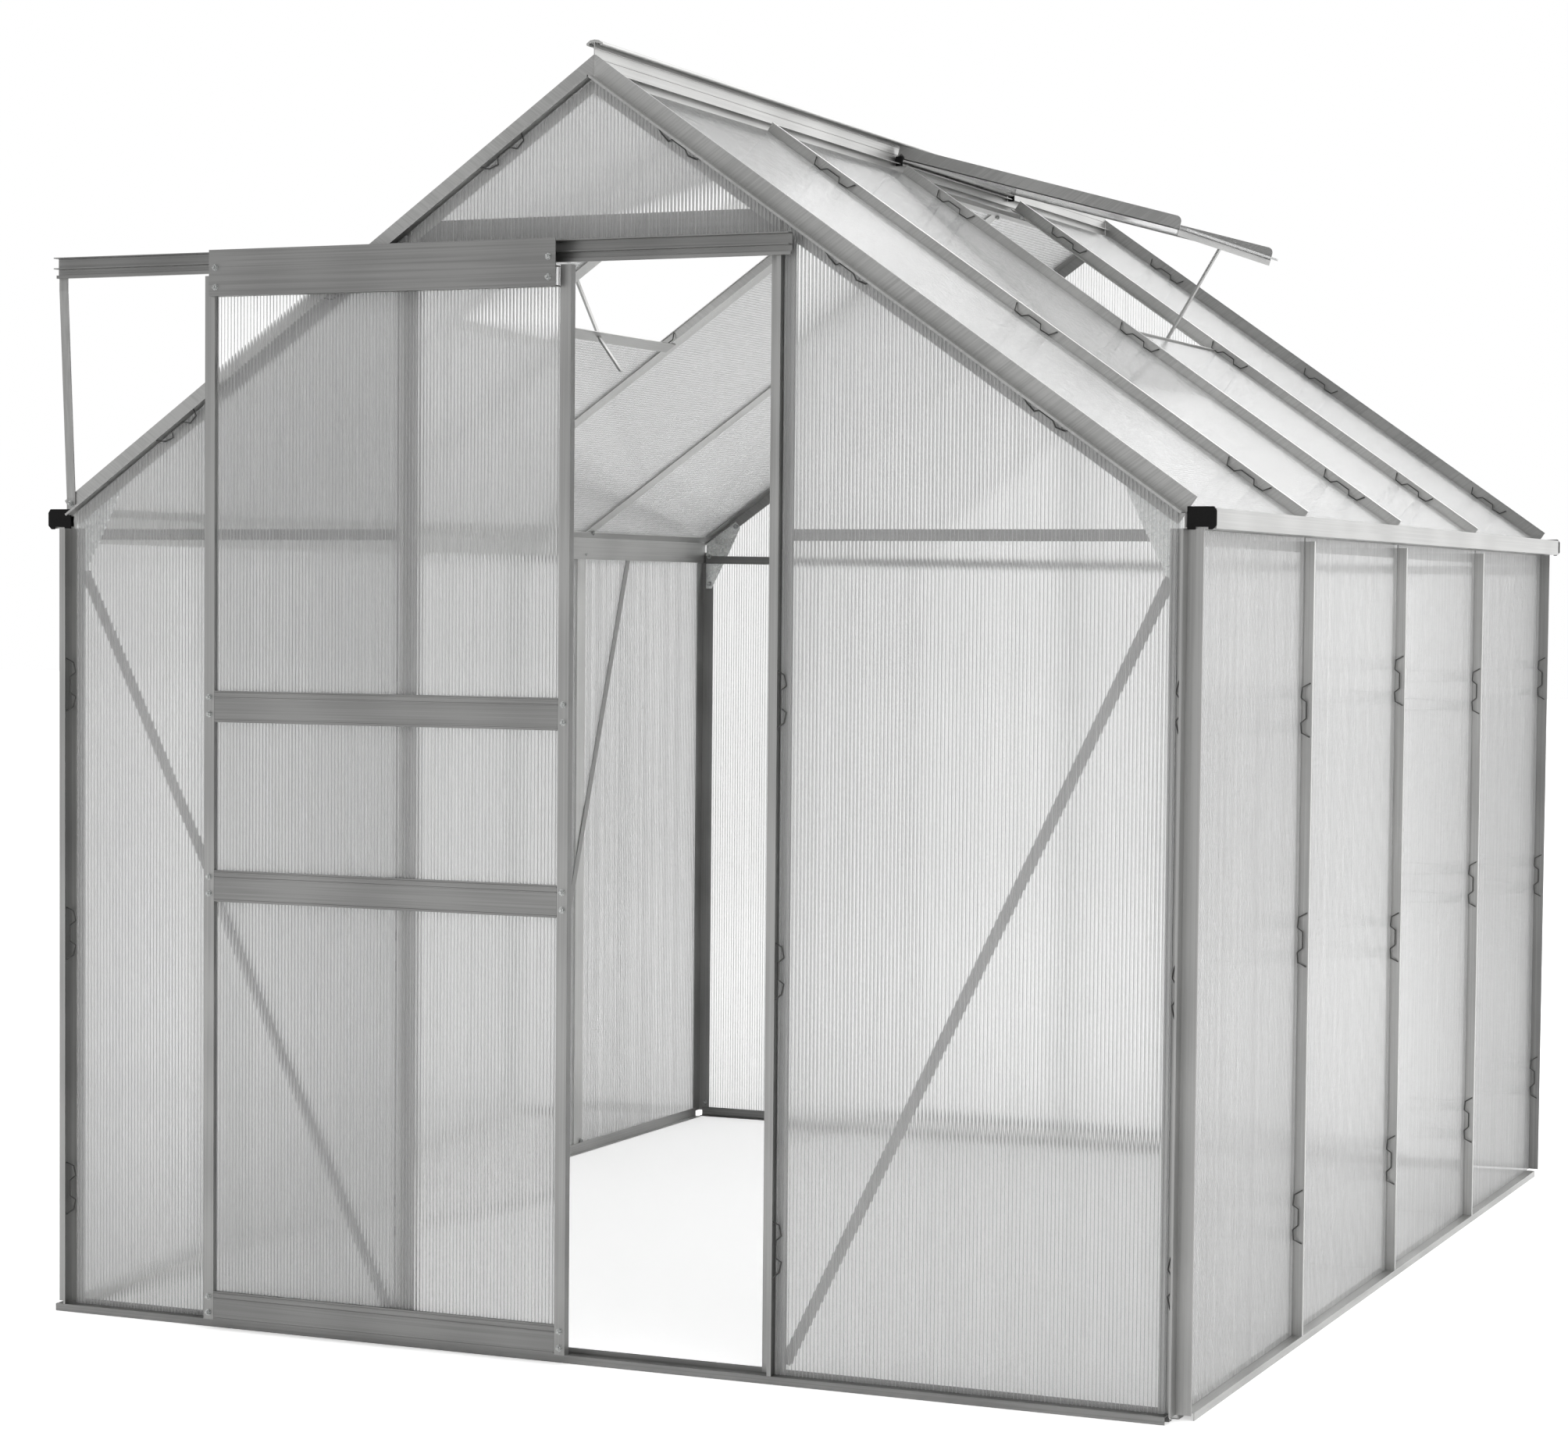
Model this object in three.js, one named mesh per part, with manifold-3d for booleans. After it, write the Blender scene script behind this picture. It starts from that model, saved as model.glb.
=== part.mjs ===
// A walk-in garden greenhouse: an aluminium frame of thin finned bars that carries twin-wall sheets,
// two roof vents propped open on stays, and a sliding door hung from a track across the front gable.
// Millimetres, +Z up, front gable towards -Y. The origin is under the middle of the whole thing.
import * as THREE from "three";
import { mergeVertices } from "three/addons/utils/BufferGeometryUtils.js";
import Module from "manifold-3d";

// ---- overall sizes: walls and roof are measured on the seats, the planes that the sheets lie against
const WIDTH = 1892; // between the two side walls' seats
const LENGTH = 2514; // between the two gables' seats
const EAVE = 1287; // from the ground to the underside of the gutters
const EAVE_SEAT = 1308; // where the roof's seat meets the side wall's seat
const RIDGE_SEAT = 1974; // where the two roof seats meet
const BAYS = 4; // sheets in a side wall, and in a roof slope

// ---- the drawn aluminium and the sheets
const METAL = 1.6; // wall of every bar
const SHEET = 4; // twin-wall sheet
const GAP = 0.3; // between pieces that touch
const PLAY = 2.2; // between a sheet's edge and a fin
const CORNER_FIN = 23; // fins of a corner bar, outwards
const CORNER_SEAT = 33; // seats of a corner bar under the side walls and the roof
const POST_GABLE_SEAT = 26; // its seat behind a gable's sheet, on a post
const RAFTER_GABLE_SEAT = 21; // and on a rafter
const RAFTER_FIN = 27; // fin of a rafter that stands above the roof
const CORNER_MARGIN = 14; // from a corner fin to the sheet beside it
const BAR_FIN = 21; // fin of a glazing bar
const BAR_SEAT = 20; // half the width of a glazing bar
const LIP = 3.5; // lip that the glazing clips hook under

// ---- sill
const LEDGE = 12; // ledge that bars and sheets stand on
const SILL_WEB = 20; // upstand behind the sheets
const SILL_REACH = 21; // from the seat to the outer face
const SILL_FOOT = 12; // flange that rests on the ground, inwards from the upstand
const SIDE_SILL_INSET = 25; // from the gable's seat to the end of a side sill
const END_SILL_INSET = 10; // from the side wall's seat to the end of a gable's sill
const FRONT_SILL_OVERHANG = 16; // the front sill's outer part runs past the left corner

// ---- gutter
const GUTTER_DEPTH = 29;
const GUTTER_OUT = 41; // outer face, from the side wall's seat
const GUTTER_IN = 5; // inner wall, from the side wall's seat
const GUTTER_SEAT = 20; // sloping seat under the feet of the roof bars
const GUTTER_LEG = 24; // leg inside the tops of the side bars
const BAR_FOOT = 3; // roof bars stop this far inside the side wall's seat
const SHEET_FOOT = 14; // roof sheets run this far past it, into the gutter

// ---- ridge
const RIDGE_RISE = 55; // top of the ridge above the meeting of the seats
const RIDGE_DROP = 22; // foot of its web below it
const RIDGE_CAP = 13; // half the width of the cap
const RIDGE_LEDGE = 12; // reach of the hinge ledge on each side
const RIDGE_LEDGE_RISE = 12;
const RIDGE_SEAT_REACH = 30; // sloping seat under the tops of the roof bars
const BAR_TOP = 18; // roof bars and sheets begin this far down the slope

// ---- gables
const DOORWAY = 634; // between the middles of the two door jambs
const HEAD_HEIGHT = 1727; // foot of the sheet over the door
const HEAD_DROP = 17; // bar behind that foot, below it
const HEAD_RISE = 37; // and above it
const HEAD_FLANGE = 20; // inwards
const FRONT_TIE_DROP = 1; // top of a front tie below the gutter's underside
const REAR_TIE_DROPS = [8, 26]; // of the rear tie at its left and right ends
const TIE_HEIGHT = 17.5;
const GUSSET_DROP = 82; // foot of a gusset below the gutter's underside
const GUSSET_FOOT = 14; // its width there
const GUSSET_KNEE = [63, 6]; // its inner corner: from the side wall's seat, below the gutter
const GUSSET_ARM = 93; // its end up the rafter, from the side wall's seat
const GUSSET_END = 30; // its width there
const GUSSET_EDGE = 8; // upper edge below the roof's seat
const STRAP = 17.5; // width of a diagonal brace
const BRACE_TOP = [26, 71]; // from the side wall's seat, below the gutter's underside
const BRACE_FOOT = [17.5, 29]; // from the middle of the jamb, above the ground
const SIDE_BRACE_TOP = [400, 12]; // from the rear gable's seat, below the gutter's underside
const SIDE_BRACE_FOOT = [862, 34]; // from the rear gable's seat, above the ground

// ---- roof vents, propped open
const VENTS = [
  ["left", -1, 2, 555],
  ["right", 1, 3, 530],
]; // side, its way along X, which bay, and how far down the slope the bar under its free edge is
const VENT_SILL_RISE = 8; // upstand of that bar
const VENT_SILL_LEG = [17, 8]; // its leg under the sheet's seat: up the slope, down the slope
const VENT_LENGTH = 561;
const VENT_OPEN = THREE.MathUtils.degToRad(15.4); // fall of the open vent
const VENT_RISE = 23; // hinge line above the meeting of the seats
const VENT_HINGE = 3; // hinge line, from the middle of the ridge
const VENT_SIDE_GAP = 8; // from the middle of a roof bar to the vent
const VENT_FIN = 22; // side rails above the vent's sheet seat
const VENT_CORNER = 10; // rounding of their free ends
const VENT_SEAT = 18; // seats under the edges of the vent's sheet
const VENT_LIP = 12; // lip that hangs from the free edge
const VENT_HOOK = [10, 8, 6]; // hinge rail: depth, below its seat, above it
const VENT_OVERHANG = 14; // sheet past the free edge
const STAY_WIDTH = 10;
const STAY_METAL = 4;
const STAY_TOP = 10; // top of a stay, up the vent from its free edge
const STAY_CLEAR = 3.4; // and below the vent's seats
const STAY_BEND = THREE.MathUtils.degToRad(12); // of its tail
const STAY_KNEE = 9; // from its stand down to the bend
const STAY_TAIL = 70;

// ---- sliding door, half open
const DOOR_WIDTH = 648;
const DOOR_SHUT_LEFT = 324; // left edge of the shut door, left of the middle
const DOOR_OPEN = 339; // how far it is slid to the left of shut
const DOOR_FOOT = 17;
const DOOR_TOP = 1686;
const DOOR_BACK = 29; // back face, in front of the gable's seat
const DOOR_DEPTH = 15;
const STILE = 18;
const MID_RAIL = 50;
const MID_RAILS = [691, 978]; // feet of the two middle rails
const FOOT_RAIL = 46;
const SHEET_SLOT = [5, 8]; // slot for the sheet in a stile: width, depth
const DOOR_SHEET_BACK = 33; // back of the door's sheet, in front of the gable's seat
const HANGER_FOOT = 1652;
const HANGER_TOP = 1725;
const HANGER_FRONT = 62; // front face, in front of the gable's seat
const HANGER_WALL = 2;
const HANGER_BOX = 32; // height of the channel along its foot
const HANGER_INSET = 18; // from the edge of the door
const ROLLER = 6.2; // radius
const ROLLER_WIDTH = 9;
const ROLLER_INSET = 55; // from the edge of the door
const AXLE = 2.5; // radius

// ---- door track
const TRACK_PAST = 7; // its free left end past the side wall's seat
const TRACK_RIGHT = 23; // its right end past the middle of the right jamb
const TRACK_FOOT = 1691;
const TRACK_TOP = 1724;
const TRACK_SHELF = 1707; // top of the shelf that the rollers run on
const TRACK_REACH = 16; // shelf and top lip
const TRACK_HOOK = [8, 5]; // lip along its foot: reach, height
const STRUT = 16; // strap from the end of the track down to the rafter
const STRUT_METAL = 2;
const STRUT_LIFT = 4; // foot above the roof's seat
const STRUT_BOLTED = 19; // height of its upright foot
const STRUT_HEAD = [1672, 1716]; // its upright end behind the track

// ---- places worked out from the sizes
const HALF = WIDTH / 2;
const REACH_DIFFERENCE = HANGER_FRONT - CORNER_FIN;
const FRONT = -LENGTH / 2 + REACH_DIFFERENCE / 2;
const REAR = FRONT + LENGTH;
const PITCH = LENGTH / BAYS;
const SLOPE = Math.atan2(RIDGE_SEAT - EAVE_SEAT, HALF);
const COS = Math.cos(SLOPE);
const SIN = Math.sin(SLOPE);
const JAMB = DOORWAY / 2;
const STAND = LEDGE + GAP; // where bars and sheets stand
const BEHIND = METAL + GAP; // face of what is bolted behind a seat

const seatHeight = (x) => RIDGE_SEAT - (Math.abs(x) * SIN) / COS;
const alongSlope = (x) => Math.abs(x) / COS;

// ---- solids
const wasm = await Module();
wasm.setup();

const shapeOf = (points) => new THREE.Shape(points.map(([u, v]) => new THREE.Vector2(u, v)));

// An outline pushed along u x v for a length, with its origin and its two directions given.
function extrude(points, length, origin, u, v) {
  const geometry = new THREE.ExtrudeGeometry(shapeOf(points), { depth: length, bevelEnabled: false });
  const along = new THREE.Vector3().crossVectors(u, v);
  const basis = new THREE.Matrix4().makeBasis(u, v, along).setPosition(...origin);
  return geometry.applyMatrix4(basis);
}

const X = new THREE.Vector3(1, 0, 0);
const Y = new THREE.Vector3(0, 1, 0);
const Z = new THREE.Vector3(0, 0, 1);

const upright = (points, z0, z1) => extrude(points, z1 - z0, [0, 0, z0], X, Y);
const acrossX = (points, x0, x1) => extrude(points, x1 - x0, [x0, 0, 0], Y, Z);
const alongY = (points, y0, y1) => extrude(points, y1 - y0, [0, y1, 0], X, Z);

function block(x0, x1, y0, y1, z0, z1) {
  const geometry = new THREE.BoxGeometry(x1 - x0, y1 - y0, z1 - z0);
  return geometry.translate((x0 + x1) / 2, (y0 + y1) / 2, (z0 + z1) / 2);
}

function solid(geometry) {
  const bare = geometry.clone();
  bare.deleteAttribute("normal");
  bare.deleteAttribute("uv");
  const merged = mergeVertices(bare, 1e-3);
  const mesh = new wasm.Mesh({
    numProp: 3,
    vertProperties: merged.attributes.position.array,
    triVerts: new Uint32Array(merged.index.array),
  });
  return new wasm.Manifold(mesh);
}

function geometryOf(body) {
  const mesh = body.getMesh();
  const geometry = new THREE.BufferGeometry();
  geometry.setAttribute("position", new THREE.BufferAttribute(mesh.vertProperties, 3));
  geometry.setIndex(new THREE.BufferAttribute(mesh.triVerts, 1));
  geometry.computeVertexNormals();
  return geometry;
}

const join = (...parts) => geometryOf(parts.map(solid).reduce((a, b) => a.add(b)));
const cut = (whole, ...tools) => geometryOf(tools.map(solid).reduce((a, b) => a.subtract(b), solid(whole)));

// ---- finishes
function finish(color, roughness, metalness) {
  return new THREE.MeshStandardMaterial({ color, roughness, metalness });
}
const mill = finish(0x9a9b98, 0.45, 0.85);
const zinc = finish(0xd4d8d6, 0.25, 0.95);
const glazing = finish(0xdfe1e0, 0.35, 0);
glazing.transparent = true;
glazing.opacity = 0.55;

const greenhouse = new THREE.Group();
const door = new THREE.Group();
greenhouse.add(door);

function add(name, geometry, material, group = greenhouse) {
  const mesh = new THREE.Mesh(geometry, material);
  mesh.name = name;
  group.add(mesh);
}

const SIDES = [
  ["left", -1],
  ["right", 1],
];
const ENDS = [
  ["front", -1, FRONT],
  ["rear", 1, REAR],
];

// ---- cross sections
// Corner bar: two fins outwards and two seats inwards from one corner, as (first way, second way).
// The second fin and the two seats are given, because posts and rafters differ in them.
const cornerSection = (fin, firstSeat, secondSeat) => [
  [0, 0],
  [CORNER_FIN, 0],
  [CORNER_FIN, -LIP],
  [CORNER_FIN - METAL, -LIP],
  [CORNER_FIN - METAL, -METAL],
  [0, -METAL],
  [0, -secondSeat],
  [-METAL, -secondSeat],
  [-METAL, -METAL],
  [-firstSeat, -METAL],
  [-firstSeat, 0],
  [-METAL, 0],
  [-METAL, fin - METAL],
  [-LIP, fin - METAL],
  [-LIP, fin],
  [0, fin],
];
const postSection = cornerSection(CORNER_FIN, POST_GABLE_SEAT, CORNER_SEAT);
const rafterSection = cornerSection(RAFTER_FIN, CORNER_SEAT, RAFTER_GABLE_SEAT);

// Glazing bar: a flat seat and one fin with a lip on each side, as (along the wall, outwards).
const barSection = [
  [-BAR_SEAT, -METAL],
  [BAR_SEAT, -METAL],
  [BAR_SEAT, 0],
  [METAL / 2, 0],
  [METAL / 2, BAR_FIN - METAL],
  [LIP, BAR_FIN - METAL],
  [LIP, BAR_FIN],
  [-LIP, BAR_FIN],
  [-LIP, BAR_FIN - METAL],
  [-METAL / 2, BAR_FIN - METAL],
  [-METAL / 2, 0],
  [-BAR_SEAT, 0],
];

// Sill: outer lip, ledge, upstand and foot, as (outwards from the seat, up).
const sillSection = [
  [SILL_REACH, 0],
  [SILL_REACH, LEDGE],
  [-BEHIND, LEDGE],
  [-BEHIND, SILL_WEB],
  [-BEHIND - METAL, SILL_WEB],
  [-BEHIND - METAL, METAL],
  [-BEHIND - METAL - SILL_FOOT, METAL],
  [-BEHIND - METAL - SILL_FOOT, 0],
  [-BEHIND, 0],
  [-BEHIND, LEDGE - METAL],
  [SILL_REACH - METAL, LEDGE - METAL],
  [SILL_REACH - METAL, 0],
];

// ---- sills
const sillEnd = HALF - END_SILL_INSET;
const rearSillSection = sillSection.map(([out, up]) => [REAR + out, up]);
const frontSillSection = sillSection.map(([out, up]) => [FRONT - out, up]);
const frontSillLeft = -HALF - FRONT_SILL_OVERHANG;
const frontSillBar = acrossX(frontSillSection, frontSillLeft, sillEnd);
const cornerNotch = block(
  frontSillLeft - 1,
  -sillEnd,
  FRONT - GAP,
  FRONT + SIDE_SILL_INSET,
  -1,
  SILL_WEB + 1,
);
add("front_sill", cut(frontSillBar, cornerNotch), mill);
add("rear_sill", acrossX(rearSillSection, -sillEnd, sillEnd), mill);
for (const [side, way] of SIDES) {
  const section = sillSection.map(([out, up]) => [way * (HALF + out), up]);
  add(side + "_sill", alongY(section, FRONT + SIDE_SILL_INSET, REAR - SIDE_SILL_INSET), mill);
}

// ---- corner posts and side bars
const POST_TOP = EAVE - GAP;
const SHEET_TOP = POST_TOP - GAP;
const STRIP = 6; // band of sheet that passes over the tops of the fins

for (const [end, endWay, seat] of ENDS) {
  for (const [side, sideWay] of SIDES) {
    const section = postSection.map(([a, b]) => [sideWay * (HALF + a), seat + endWay * b]);
    add([end, side, "corner_post"].join("_"), upright(section, STAND, POST_TOP), mill);
  }
}

const barYs = [];
for (let n = 1; n < BAYS; n += 1) barYs.push(FRONT + n * PITCH);

for (const [side, way] of SIDES) {
  barYs.forEach((y, n) => {
    const section = barSection.map(([a, out]) => [way * (HALF + out), y + a]);
    const whole = upright(section, STAND, POST_TOP);
    const inner = way * (HALF + GAP / 2);
    const outer = way * (HALF + BAR_FIN + 1);
    const notch = block(
      Math.min(inner, outer),
      Math.max(inner, outer),
      y - LIP - 1,
      y + LIP + 1,
      SHEET_TOP - STRIP - GAP,
      EAVE,
    );
    add([side, "wall_bar", n + 1].join("_"), cut(whole, notch), mill);
  });
}

// ---- gutters: a channel, a sloping seat inside it and a leg behind the side bars
const gutterSeat = (x) => seatHeight(x) - BEHIND / COS;
const gutterInner = HALF - GUTTER_IN;
const gutterOuter = HALF + GUTTER_OUT;
const gutterUp = gutterInner - GUTTER_SEAT * COS;
const gutterSection = [
  [gutterOuter, EAVE],
  [gutterOuter, EAVE + GUTTER_DEPTH],
  [gutterOuter - METAL, EAVE + GUTTER_DEPTH],
  [gutterOuter - METAL, EAVE + METAL],
  [gutterInner, EAVE + METAL],
  [gutterInner, gutterSeat(gutterInner)],
  [gutterUp, gutterSeat(gutterUp)],
  [gutterUp, gutterSeat(gutterUp) - METAL / COS],
  [gutterInner - METAL, gutterSeat(gutterInner - METAL) - METAL / COS],
  [gutterInner - METAL, EAVE],
  [gutterInner - METAL, EAVE - GUTTER_LEG],
  [gutterInner, EAVE - GUTTER_LEG],
  [gutterInner, EAVE],
];
for (const [side, way] of SIDES) {
  const section = gutterSection.map(([x, z]) => [way * x, z]);
  add(side + "_gutter", alongY(section, FRONT + BEHIND, REAR - BEHIND), mill);
}

// ---- roof: directions and places on a slope, s down the slope from the ridge and w outwards
const outwardOf = (way) => new THREE.Vector3(way * SIN, 0, COS);
const onSlope = (way, s, y, w = 0) => [way * (s * COS + w * SIN), y, RIDGE_SEAT - s * SIN + w * COS];

function downSlope(section, way, s0, s1) {
  const origin = onSlope(way, way > 0 ? s0 : s1, 0);
  return extrude(section, s1 - s0, origin, Y, outwardOf(way));
}

function slopeSheet(points, way) {
  const up = new THREE.Vector3(-COS, 0, way * SIN);
  return extrude(
    points.map(([y, s]) => [y, -way * s]),
    SHEET,
    onSlope(way, 0, 0, GAP),
    Y,
    up,
  );
}

const SLOPE_END = alongSlope(HALF - BAR_FOOT);
const APEX_GAP = 1 + GAP;

for (const [end, endWay, seat] of ENDS) {
  for (const [side, sideWay] of SIDES) {
    // The rafter's seat inside the gable is the corner bar's first way turned down the gable.
    const section = rafterSection.map(([a, b]) => [seat + endWay * a, b]);
    const whole = downSlope(section, sideWay, -CORNER_SEAT, SLOPE_END);
    const beyond = sideWay * APEX_GAP;
    const far = -sideWay * HALF;
    const apex = block(Math.min(beyond, far), Math.max(beyond, far), seat - 60, seat + 60, 1000, 3000);
    const foot = block(-WIDTH, WIDTH, seat - 60, seat + 60, 0, EAVE);
    add([end, side, "rafter"].join("_"), cut(whole, apex, foot), mill);
  }
}

for (const [side, way] of SIDES) {
  barYs.forEach((y, n) => {
    const section = barSection.map(([a, out]) => [y + a, out]);
    add([side, "roof_bar", n + 1].join("_"), downSlope(section, way, BAR_TOP, SLOPE_END), mill);
  });
}

// ---- ridge: web with a cap, hinge ledges over the sheets and sloping seats under the bars
const ridgeTop = RIDGE_SEAT + RIDGE_RISE;
const ridgeLedge = RIDGE_SEAT + RIDGE_LEDGE_RISE;
const halfWeb = METAL / 2;
const ridgeSeatX = RIDGE_SEAT_REACH * COS;
const ridgeHalf = [
  [0, ridgeTop],
  [RIDGE_CAP * 0.55, ridgeTop - 1],
  [RIDGE_CAP, ridgeTop - 5],
  [RIDGE_CAP - 1, ridgeTop - 6.5],
  [halfWeb, ridgeTop - 4],
  [halfWeb, ridgeLedge + METAL],
  [RIDGE_LEDGE, ridgeLedge + METAL - 3],
  [RIDGE_LEDGE, ridgeLedge - 3],
  [halfWeb, ridgeLedge],
  [halfWeb, seatHeight(halfWeb) - BEHIND / COS],
  [ridgeSeatX, seatHeight(ridgeSeatX) - BEHIND / COS],
  [ridgeSeatX, seatHeight(ridgeSeatX) - (BEHIND + METAL) / COS],
  [halfWeb, seatHeight(halfWeb) - (BEHIND + METAL) / COS],
  [halfWeb, RIDGE_SEAT - RIDGE_DROP],
];
const ridgeSection = [...ridgeHalf, ...ridgeHalf.slice(1).reverse().map(([x, z]) => [-x, z])];
const ridgeBar = alongY(ridgeSection, FRONT, REAR);
const ridgeNotches = ENDS.flatMap(([, endWay, seat]) =>
  SIDES.map(([, sideWay]) => {
    const x = [sideWay * halfWeb, sideWay * 60].sort((a, b) => a - b);
    const y = [seat + endWay * 10, seat - endWay * BEHIND].sort((a, b) => a - b);
    return block(...x, ...y, RIDGE_SEAT - 60, RIDGE_SEAT + 40);
  }),
);
add("ridge", cut(ridgeBar, ...ridgeNotches), mill);

// ---- gables: door jambs, rear mullions and the bar over the door
const aboveSlope = (way, depth) =>
  downSlope([[-LENGTH, -depth], [LENGTH, -depth], [LENGTH, HALF], [-LENGTH, HALF]], way, -HALF, 2 * HALF);

for (const [end, endWay, seat] of ENDS) {
  for (const [side, sideWay] of SIDES) {
    const section = barSection.map(([a, out]) => [sideWay * JAMB + a, seat + endWay * out]);
    const whole = upright(section, STAND, RIDGE_SEAT);
    const name = end === "front" ? side + "_door_jamb" : "rear_" + side + "_mullion";
    add(name, cut(whole, aboveSlope(sideWay, RAFTER_GABLE_SEAT + GAP)), mill);
  }
}

const headLow = HEAD_HEIGHT - HEAD_DROP;
const headSection = [
  [FRONT + BEHIND, headLow],
  [FRONT + BEHIND + HEAD_FLANGE, headLow],
  [FRONT + BEHIND + HEAD_FLANGE, headLow + METAL],
  [FRONT + BEHIND + METAL, headLow + METAL],
  [FRONT + BEHIND + METAL, HEAD_HEIGHT + HEAD_RISE],
  [FRONT + BEHIND, HEAD_HEIGHT + HEAD_RISE],
];
const headSlopes = SIDES.map(([, way]) => aboveSlope(way, BEHIND + PLAY));
add("door_head_bar", cut(acrossX(headSection, -HALF, HALF), ...headSlopes), mill);

// ---- ties across the gables, each in one piece with the gussets bolted to it
const behindGable = (endWay, seat, near, far) =>
  [seat - endWay * near, seat - endWay * far].sort((a, b) => a - b);
const gussetOuter = gutterInner - METAL - PLAY;
const gussetArm = HALF - GUSSET_ARM;
const gussetTip = gussetArm + GUSSET_FOOT * COS;
const gussetOutline = [
  [gussetOuter, EAVE - GUSSET_DROP],
  [gussetOuter - GUSSET_FOOT, EAVE - GUSSET_DROP],
  [HALF - GUSSET_KNEE[0], EAVE - GUSSET_KNEE[1]],
  [gussetArm, seatHeight(gussetArm) - GUSSET_END],
  [gussetTip, seatHeight(gussetTip) - GUSSET_EDGE],
  [gussetOuter, seatHeight(gussetOuter) - GUSSET_EDGE],
];

function gusset(endWay, seat, sideWay) {
  const outline = gussetOutline.map(([x, z]) => [sideWay * x, z]);
  return alongY(outline, ...behindGable(endWay, seat, BEHIND, BEHIND + METAL));
}

function tie(endWay, seat, [x0, drop0], [x1, drop1]) {
  const outline = [
    [x0, EAVE - drop0 - TIE_HEIGHT],
    [x1, EAVE - drop1 - TIE_HEIGHT],
    [x1, EAVE - drop1],
    [x0, EAVE - drop0],
  ];
  return alongY(outline, ...behindGable(endWay, seat, BEHIND + METAL * 0.9, BEHIND + METAL * 2));
}

for (const [side, way] of SIDES) {
  const x = [way * (JAMB + PLAY), way * gussetOuter].sort((a, b) => a - b);
  const frontTie = tie(-1, FRONT, ...x.map((end) => [end, FRONT_TIE_DROP]));
  add("front_" + side + "_tie", join(gusset(-1, FRONT, way), frontTie), zinc);
}
const rearGussets = SIDES.map(([, way]) => gusset(1, REAR, way));
const [dropLeft, dropRight] = REAR_TIE_DROPS;
const rearTie = tie(1, REAR, [-gussetOuter, dropLeft], [gussetOuter, dropRight]);
add("rear_tie", join(rearTie, ...rearGussets), zinc);

// ---- diagonal braces: flat straps
function strap([u0, v0], [u1, v1]) {
  const length = Math.hypot(u1 - u0, v1 - v0);
  const du = ((v1 - v0) / length) * (STRAP / 2);
  const dv = ((u1 - u0) / length) * (STRAP / 2);
  return [
    [u0 + du, v0 - dv],
    [u1 + du, v1 - dv],
    [u1 - du, v1 + dv],
    [u0 - du, v0 + dv],
  ];
}

// A front brace is bolted inside the foot of its gusset.
const braceFace = FRONT + BEHIND + METAL + GAP;
for (const [side, way] of SIDES) {
  const top = [way * (HALF - BRACE_TOP[0]), EAVE - BRACE_TOP[1]];
  const foot = [way * (JAMB + BRACE_FOOT[0]), BRACE_FOOT[1]];
  add("front_" + side + "_brace", alongY(strap(foot, top), braceFace, braceFace + METAL), mill);
}
const sideBraceTop = [REAR - SIDE_BRACE_TOP[0], EAVE - SIDE_BRACE_TOP[1]];
const sideBraceFoot = [REAR - SIDE_BRACE_FOOT[0], SIDE_BRACE_FOOT[1]];
const sideBraceX = -(HALF - BEHIND);
add("left_wall_brace", acrossX(strap(sideBraceFoot, sideBraceTop), sideBraceX, sideBraceX + METAL), mill);

// ---- roof vents: places in the plane of an open vent, a down its fall and c outwards
const ventPoint = (way, [a, c]) => [
  way * (VENT_HINGE + a * Math.cos(VENT_OPEN) + c * Math.sin(VENT_OPEN)),
  RIDGE_SEAT + VENT_RISE - a * Math.sin(VENT_OPEN) + c * Math.cos(VENT_OPEN),
];
const rectangle = (u0, u1, v0, v1) => [
  [u0, v0],
  [u1, v0],
  [u1, v1],
  [u0, v1],
];
const ventCornerArc = [0, 1, 2, 3, 4].map((n) => {
  const angle = (n * Math.PI) / 8;
  const turn = [Math.cos(angle) - 1, Math.sin(angle) - 1];
  return [VENT_LENGTH + VENT_CORNER * turn[0], VENT_FIN + VENT_CORNER * turn[1]];
});
const ventFin = [[0, -METAL], [VENT_LENGTH, -METAL], ...ventCornerArc, [0, VENT_FIN]];

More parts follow.
